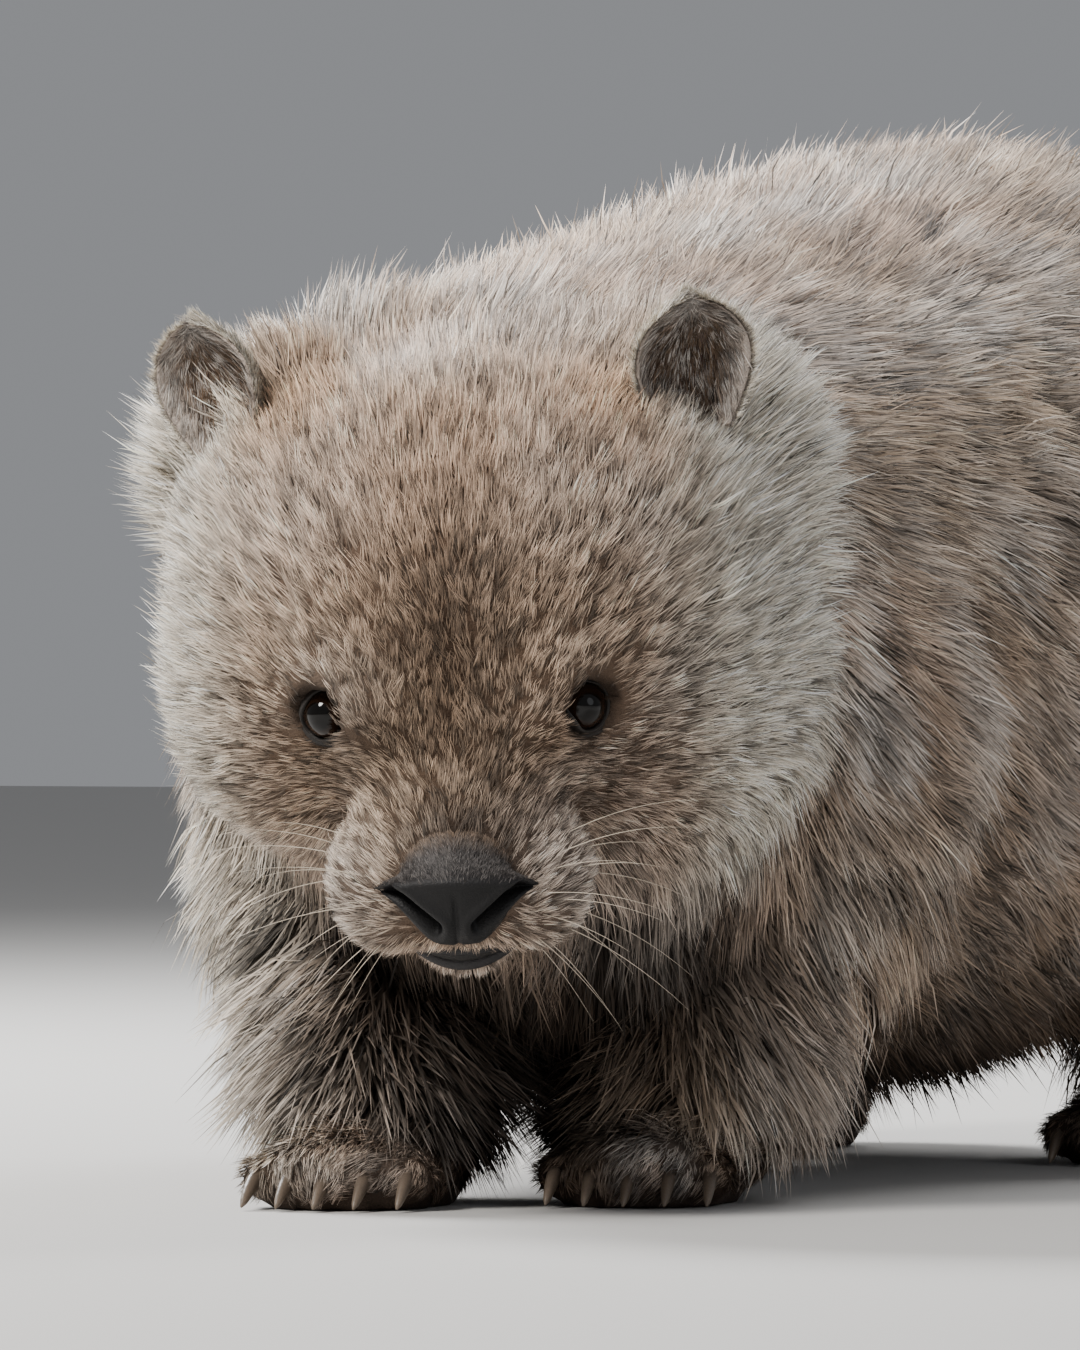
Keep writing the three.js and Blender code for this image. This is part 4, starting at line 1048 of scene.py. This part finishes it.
def makeLid(side, suffix):
    # Rings from the slanted rim of the opening, over the ball, out onto the skin, with fine folds
    gaze, across, tall = eyeAxes(side)
    around, rows = lid["around"], lid["rows"]
    phi = fullTurn(around)
    v = np.linspace(0, 1, rows)[:, None]
    corner = 1 + 0.16 * np.abs(np.cos(phi)) ** 6 * np.sign(np.cos(phi) + 1e-9)
    wide = (eye["openWide"] * corner)[None] + lid["reach"] * v
    high = eye["openTall"] * (1 + 0 * phi)[None] + lid["reach"] * v
    x, y = wide * np.cos(phi), high * np.sin(phi)
    ball = eye["radius"] + 0.55
    distance = np.sqrt(x ** 2 + y ** 2)
    rise = np.sqrt(np.clip(ball ** 2 - np.minimum(distance, ball * 0.98) ** 2, 0, None))
    q = eyeCentre(side) + x[..., None] * across + y[..., None] * tall + rise[..., None] * gaze
    flat = fromHead(q.reshape(-1, 3))
    onSkin = flat.copy()
    for _ in range(8):
        value = bodyField(onSkin) + coatDepth(onSkin) + 0.5
        onSkin = onSkin - 0.8 * np.clip(value, -4, 4)[:, None] * outward(onSkin)
    share = smooth(0.12, 0.75, v * np.ones((1, around))).reshape(-1, 1)
    places = flat * (1 - share) + onSkin * share
    n = unit(gaze @ headBase)
    thick = lid["rim"] * np.exp(-((v - 0.13) / 0.13) ** 2) * np.ones((1, around))
    folds = lid["fold"] * np.sin(v * 26 + 1.2 * np.sin(2 * phi + side))
    folds = folds * smooth(0.08, 0.3, v) * smooth(1.0, 0.6, v)
    places = places + (thick + folds).reshape(-1, 1) * n
    inner = fromHead((eyeCentre(side) + (x[0] * 0.96)[:, None] * across + (y[0] * 0.96)[:, None] * tall
                      + (rise[0] - 1.6)[:, None] * gaze))
    places = np.concatenate([inner, places])
    piece = meshObject(f"lids_{suffix}", places, gridFaces(rows + 1, around)[:, ::-1])
    pale = smooth(0.2, 0.9, np.concatenate([np.zeros(around), np.repeat(v[:, 0], around)]))[:, None]
    colourAttribute(piece, shades["dark"] * 0.55 * (1 - pale) + linear(92, 76, 64) * pale)
    return piece


# Nose, mouth, whiskers and claws

nostril = {"depth": 6.5, "width": 2.6}


def nosePlaces(a, b):
    # A ball stretched to the pad's radii and narrowed by padWidth. A ridge parts its furred upper
    # plane from its bare front, and comma-shaped nostrils are pressed in below the wings.
    q = np.stack([np.sin(a) * np.cos(b), np.cos(a), np.sin(a) * np.sin(b)], axis=-1)
    u = padHeight(q[..., 1], q[..., 2])
    front = smooth(-0.25, 0.15, q[..., 1])
    outwardWay = q.copy()
    q = q * np.array(nose["size"])
    q[..., 0] *= padWidth(u)
    x = np.abs(q[..., 0])
    best = np.full(x.shape, 1e9)
    for t in np.linspace(0, 1, 33):
        # the comma runs from the wing's corner inward and down
        cx, cu = 21.5 - 14.5 * t, 0.0 - 0.72 * t - 0.06 * math.sin(math.pi * t)
        best = np.minimum(best, np.hypot(x - cx, 18 * (u - cu)) - nostril["width"] * (1.15 - 0.5 * t))
    hole = smooth(1.3, -1.5, best) * front
    relief = (1.7 * np.exp(-((u - 0.1) / 0.16) ** 2) - 1.6 * np.exp(-((u - 0.6) / 0.3) ** 2)
              - 1.2 * np.exp(-((u + 0.4) / 0.3) ** 2) * np.exp(-(x / 12) ** 2)
              + 0.8 * np.exp(-((best - 2.4) / 1.5) ** 2)
              - 0.8 * np.exp(-(x / 1.0) ** 2) * smooth(0.0, -0.3, u)) * front
    q = q + outwardWay * (relief - nostril["depth"] * hole)[..., None]
    return q + np.array(nose["place"]), hole, u


def makeNose():
    # The pad, with painted shade darkest in its nostrils, and one faint rosy patch
    rows, around = 130, 180
    a = np.linspace(0.002, math.pi - 0.002, rows)[:, None] * np.ones((1, around))
    b = np.ones((rows, 1)) * fullTurn(around)
    q, hole, u = nosePlaces(a, b)
    piece = meshObject("nose", fromHead(q.reshape(-1, 3)), gridFaces(rows, around))
    upper = smooth(0.02, 0.2, u)
    colour = shades["charcoal"] * (0.16 + 0.32 * upper)[..., None]
    # painted shade deep in the nostrils
    colour = colour * (1 - 0.9 * hole[..., None])
    blush = np.exp(-(((q[..., 0] + 3) / 5) ** 2 + ((u - 0.72) / 0.14) ** 2))
    colour = colour * (1 - 0.3 * blush[..., None]) + linear(112, 84, 76) * (0.3 * blush)[..., None]
    colourAttribute(piece, colour.reshape(-1, 3))
    return piece


def growNoseFuzz(seed):
    # Very short hair on the top of the pad and round its edge, thinning towards the bare front
    draw = np.random.default_rng(seed)
    count = 9000
    a = draw.uniform(0.15, 2.6, count)
    b = draw.uniform(0.05, math.pi - 0.05, count)
    q, hole, u = nosePlaces(a, b)
    da = nosePlaces(a + 0.01, b)[0] - q
    db = nosePlaces(a, b + 0.01)[0] - q
    n = unit(np.cross(da, db))
    n = n * np.sign((n * (q - np.array(nose["place"]))).sum(1))[:, None]
    keep = (draw.uniform(0, 1, count) < smooth(0.04, 0.4, u)) & (hole < 0.05)
    q, n, u = q[keep], n[keep], u[keep]
    way = unit(np.stack([0.35 * np.sign(q[:, 0]), -1 + 0 * u, 0.25 + 0 * u], 1)) @ headBase
    colour = mixColour(np.repeat(shades["charcoal"][None] * 1.5, len(q), axis=0), "silver",
                       0.02 + 0.12 * draw.uniform(0, 1, len(q)))
    colour = mixColour(colour, "brown", 0.75 * smooth(0.6, 1.0, u))
    lengths = 1.8 + 1.8 * smooth(0.3, 1.0, u)
    uv = np.stack([0.02 + 0.96 * (q[:, 0] + 30) / 60, 0.02 + 0.96 * np.clip((q[:, 1] - 40) / 60, 0, 1)], 1)
    return growTufts("coat_nose", fromHead(q), n @ headBase, way, lengths, np.full(len(q), 24 * radian),
                     np.full(len(q), 0.24), colour, uv, seed, blades=3, rootDark=0.5)


def makeBar(path, radii, sides, flatness=1.0):
    # A round profile of changing radius carried along a path, and closed at its ends
    tangent = unit(np.gradient(path, axis=0))
    side = unit(np.cross(tangent, (0, 0, 1)))
    up = np.cross(side, tangent)
    ring = turned(side[:, None], flatness * up[:, None], fullTurn(sides)[None])
    body = path[:, None] + ring * radii[:, None, None]
    places = np.concatenate([path[:1] - tangent[:1] * radii[0] * 0.4, body.reshape(-1, 3),
                             path[-1:] + tangent[-1:] * radii[-1] * 0.4])
    faces = gridFaces(len(path), sides) + 1
    k = np.arange(sides)
    lastRing = 1 + (len(path) - 1) * sides
    start = np.stack([np.zeros(sides, int), 1 + (k + 1) % sides, 1 + k], 1)
    end = np.stack([np.full(sides, len(places) - 1), lastRing + k, lastRing + (k + 1) % sides], 1)
    return places, np.concatenate([faces, start, end])


def makeMouth():
    # A dark slit, painted shade in the gap between two bare lips: lift over the mouth's line, way out, radii,
    # shade and tone
    t = np.linspace(-1, 1, 41)
    swell = np.sqrt(np.clip(1 - t ** 2, 0.02, 1))
    bars, colours = [], []
    for lift, out, radius, flatness, shade, tone in (
            # the slit: near-black painted shade in the gap between the lips
            (0.0, -0.6, 0.6 + 2.9 * swell, 0.8, "dark", 0.25),
            (3.4, 0.4, 0.5 + 1.6 * swell, 1.0, "charcoal", 0.4),
            (-3.6, 0.6, 0.5 + 1.9 * swell, 1.0, "charcoal", 0.55)):
        path = settle(fromHead(mouthLine(t) + np.array([0, 0, lift])))
        bars.append(makeBar(path + out * outward(path), radius, 10, flatness))
        colours.append(np.repeat(shades[shade][None] * tone, len(bars[-1][0]), 0))
    piece = joinParts("lips", bars)
    colourAttribute(piece, np.concatenate(colours))
    return piece


whisker = {"count": 15, "length": 46, "least": 0.55, "most": 1.1, "radius": 0.17, "sag": 0.24}


def makeWhiskers(seed):
    # Stiff hairs in rows on the lips that hang by their length t^2
    draw = np.random.default_rng(seed)
    parts = []
    for side in (1, -1):
        for k in range(whisker["count"]):
            row, column = k % 4, k // 4
            root = np.array([side * (22 + 2.6 * column), 66 - 7.5 * column, -14 - 6.5 * row])
            root = root + draw.normal(0, 0.8, 3)
            p = settle(fromHead(root)[None], 5)[0]
            n = outward(p[None])[0]
            way = unit(n * 0.8 + np.array([side * 0.75, -0.55, -0.25 - 0.12 * row]) @ headBase)
            length = whisker["length"] * draw.uniform(whisker["least"], whisker["most"])
            t = np.linspace(0, 1, 9)[:, None]
            path = p - 1.5 * n + way * length * t + np.array([0, 0, -1.0]) * length * whisker["sag"] * t ** 2
            parts.append(makeBar(path, whisker["radius"] * (1 - 0.85 * t[:, 0]), 4))
    piece = joinParts("whiskers", parts)
    colourAttribute(piece, np.repeat(linear(214, 200, 180)[None], len(piece.data.vertices), 0))
    return piece


def makeClaws(name):
    # Five horn claws: a bar that thins along an arc from the toe to just above the floor
    foot = feet[name]
    parts = []
    for toe in range(5):
        across, reach = toePath(foot, toe)
        ends = [footSpot(foot, across * 1.03, reach * 0.98, 10.5),
                footSpot(foot, across * 1.09, reach * 1.04 + foot["claw"] * 0.42, 9.2),
                footSpot(foot, across * 1.12, reach * 1.04 + foot["claw"], 1.3)]
        path = catmull(ends, 12)
        t = np.linspace(0, 1, 12)
        parts.append(makeBar(path, 3.0 * (1 - t) ** 0.55 + 0.35, 10, 1.2))
    piece = joinParts(f"claws_{name}", parts)
    t = np.tile(np.concatenate([[0], np.repeat(np.linspace(0, 1, 12), 10), [1]]), 5)
    colour = linear(48, 41, 37) * (1 - t)[:, None] + linear(112, 98, 84) * t[:, None]
    colourAttribute(piece, colour)
    return piece


# Materials

def toneGroup():
    # Shared by every finish: colour (1 + amount (coarse + fine - 1)), with noise in object space
    group = bpy.data.node_groups.new("BrokenTone", "ShaderNodeTree")
    for name, kind, way in (("Colour", "Color", "INPUT"), ("Coarse Scale", "Float", "INPUT"),
                            ("Fine Scale", "Float", "INPUT"), ("Amount", "Float", "INPUT"),
                            ("Colour", "Color", "OUTPUT"), ("Grain", "Float", "OUTPUT")):
        group.interface.new_socket(name, in_out=way, socket_type="NodeSocket" + kind)
    nodes, links = group.nodes, group.links
    given, result = nodes.new("NodeGroupInput"), nodes.new("NodeGroupOutput")
    place = nodes.new("ShaderNodeTexCoord")
    coarse, fine = nodes.new("ShaderNodeTexNoise"), nodes.new("ShaderNodeTexNoise")
    for noise, name in ((coarse, "Coarse Scale"), (fine, "Fine Scale")):
        links.new(place.outputs["Object"], noise.inputs["Vector"])
        links.new(given.outputs[name], noise.inputs["Scale"])
        noise.inputs["Detail"].default_value = 3

    def mathNode(operation, *terms):
        node = nodes.new("ShaderNodeMath")
        node.operation = operation
        for socket, term in zip(node.inputs, terms):
            if isinstance(term, float):
                socket.default_value = term
            else:
                links.new(term, socket)
        return node.outputs[0]

    both = mathNode("ADD", coarse.outputs["Fac"], fine.outputs["Fac"])
    centred = mathNode("SUBTRACT", both, 1.0)
    scaled = mathNode("MULTIPLY_ADD", centred, given.outputs["Amount"], 1.0)
    tinted = nodes.new("ShaderNodeVectorMath")
    tinted.operation = "SCALE"
    links.new(given.outputs["Colour"], tinted.inputs[0])
    links.new(scaled, tinted.inputs["Scale"])
    links.new(tinted.outputs[0], result.inputs["Colour"])
    links.new(fine.outputs["Fac"], result.inputs["Grain"])
    return group


brokenTone = toneGroup()


finishValues = {
    # roughness, specular level, broken tone, coarse and fine scale of its noise, bump and its depth
    "hair": (0.62, 0.28, 0.35, 55, 900, 0, 0),
    "skin": (0.85, 0.2, 0.5, 90, 1400, 0.7, 0.0015),
    "nose": (0.52, 0.32, 0.5, 400, 1700, 0.55, 0.0006),
    "eye": (0.05, 0.3, 0.1, 200, 900, 0, 0),
    "lid": (0.55, 0.45, 0.5, 300, 1500, 0.6, 0.0005),
    "claw": (0.42, 0.5, 0.5, 200, 1200, 0.3, 0.0004),
}


def newMaterial(name):
    material = bpy.data.materials.new(name)
    material.use_nodes = True
    return material, material.node_tree.nodes["Principled BSDF"]


def makeFinish(name):
    # Colour from the Coat attribute through the broken tone, and a fine relief from its grain
    roughness, specular, amount, coarseScale, fineScale, bump, bumpDepth = finishValues[name]
    material, shader = newMaterial(name.capitalize() + "Finish")
    nodes, links = material.node_tree.nodes, material.node_tree.links
    shader.inputs["Roughness"].default_value = roughness
    shader.inputs["Specular IOR Level"].default_value = specular
    colour = nodes.new("ShaderNodeAttribute")
    colour.attribute_name = "Coat"
    tone = nodes.new("ShaderNodeGroup")
    tone.node_tree = brokenTone
    for socket, value in (("Coarse Scale", coarseScale), ("Fine Scale", fineScale), ("Amount", amount)):
        tone.inputs[socket].default_value = value
    links.new(colour.outputs["Color"], tone.inputs["Colour"])
    links.new(tone.outputs["Colour"], shader.inputs["Base Color"])
    if bump:
        relief = nodes.new("ShaderNodeBump")
        relief.inputs["Strength"].default_value = bump
        relief.inputs["Distance"].default_value = bumpDepth
        links.new(tone.outputs["Grain"], relief.inputs["Height"])
        links.new(relief.outputs["Normal"], shader.inputs["Normal"])
    return material


finishes = {name: makeFinish(name) for name in finishValues}


def finishAs(piece, name, nodes=()):
    # Material, body, slot and the nodes that a piece replaces
    piece.data.materials.clear()
    piece.data.materials.append(finishes[name])
    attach(piece, "root")
    if nodes:
        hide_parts(*nodes)


# Camera and light

view = {
    "azimuth": 24, "distance": 4.0, "height": 0.185,   # where the camera stands, in degrees and metres
    "scale": 0.31e-3,                                   # metres in one pixel at the head
    "columns": 1080, "rows": 1350,                      # the photo's frame
    "headColumn": 459, "headRow": 711, "rowHeight": 0.157,   # the head's column; a row and its height
    "sensor": 24, "reach": 50,
}


def makeCamera():
    # Level camera: the head's place falls on its column, and a height over the floor on its row
    a = view["azimuth"] * radian
    right = np.array([math.cos(a), math.sin(a), 0])
    ahead = np.array([-math.sin(a), math.cos(a), 0])
    target = toFrame(headPlace) + right * (view["columns"] / 2 - view["headColumn"]) * view["scale"]
    place = target - ahead * view["distance"]
    place[2] = view["height"]
    data = bpy.data.cameras.new("Camera")
    camera = addObject("Camera", data)
    camera.location = place
    camera.rotation_euler = (90 * radian, 0, a)
    data.sensor_fit = "VERTICAL"
    data.sensor_height = view["sensor"]
    data.lens = view["sensor"] * view["distance"] / (view["rows"] * view["scale"])
    horizonRow = view["headRow"] - (view["height"] - view["rowHeight"]) / view["scale"]
    data.shift_y = (horizonRow - view["rows"] / 2) / view["rows"]
    data.clip_end = view["reach"]
    bpy.context.scene.camera = camera
    return right, ahead


studio = {
    # ahead, right and up of the middle, size, power and colour of each lamp
    "lamps": {"Key": (-1.7, -1.5, 1.9, 0.8, 92, (1, 0.97, 0.93)),
              "Fill": (-2.2, 1.8, 0.9, 1.8, 9, (0.93, 0.96, 1)),
              "Rim": (1.4, -1.3, 1.5, 0.9, 135, (1, 1, 1)),
              "Back": (1.5, 1.2, 1.7, 1.1, 40, (1, 1, 1))},
    "middle": (0, 0, 0.18),
    "world": (0.78, 0.80, 0.84, 1), "worldStrength": 0.34,
    "floor": (0.5, 0.49, 0.475, 1), "floorRoughness": 0.9, "floorHalf": 9.0,
}


def makeLamp(name, right, ahead):
    # A disk that looks at the middle
    forward, across, up, size, power, colour = studio["lamps"][name]
    data = bpy.data.lights.new(name, "AREA")
    data.shape = "DISK"
    data.size = size
    data.energy = power
    data.color = colour
    lamp = addObject(name, data)
    away = ahead * forward + right * across + np.array([0, 0, up])
    lamp.location = np.array(studio["middle"]) + away
    tilt = math.acos(away[2] / np.linalg.norm(away))
    lamp.rotation_euler = (tilt, 0, math.atan2(away[1], away[0]) + math.pi / 2)


def makeStage(right, ahead):
    mesh = bpy.data.meshes.new("floor")
    r = studio["floorHalf"]
    mesh.from_pydata([(-r, -r, 0), (r, -r, 0), (r, r, 0), (-r, r, 0)], [], [(0, 1, 2, 3)])
    floor = addObject("floor", mesh)
    material, shader = newMaterial("FloorFinish")
    shader.inputs["Base Color"].default_value = studio["floor"]
    shader.inputs["Roughness"].default_value = studio["floorRoughness"]
    mesh.materials.append(material)
    world = bpy.data.worlds.new("Studio")
    world.use_nodes = True
    background = world.node_tree.nodes["Background"]
    background.inputs["Color"].default_value = studio["world"]
    background.inputs["Strength"].default_value = studio["worldStrength"]
    bpy.context.scene.world = world
    for name in studio["lamps"]:
        makeLamp(name, right, ahead)


# Build

right, ahead = makeCamera()
makeStage(right, ahead)
print("stage and camera")

skinPiece, skinPlaces = makeSkin()
skinTriangles = trianglesOf(skinPiece.data)
print("skin", len(skinTriangles), "triangles")
colourAttribute(skinPiece, markingsAndPaintedLight(skinPlaces) * np.array([0.22, 0.19, 0.17]))   # darker than the coat
flesh = ["head", "jaw", "neck", "chest", "belly", "rump", "tail"] + list(legs) + list(feet)
finishAs(skinPiece, "skin", flesh)

for piece in growCoat(skinPlaces, skinTriangles):
    finishAs(piece, "hair")
print("coat grown")

for side, suffix in ((1, "l"), (-1, "r")):
    finishAs(makeEar(side, suffix), "skin", [f"ear_{suffix}"])
    finishAs(growEarCoat(side, suffix, 40 + side), "hair")
    finishAs(makeEye(side, suffix), "eye", [f"eye_{suffix}"])
    finishAs(makeLid(side, suffix), "lid")
print("ears, eyes and lids")

finishAs(makeNose(), "nose", ["nose_pad"])
finishAs(growNoseFuzz(61), "hair")
finishAs(makeMouth(), "lid")
finishAs(makeWhiskers(71), "claw")
for name in feet:
    finishAs(makeClaws(name), "claw")
print("nose, mouth, whiskers and claws")
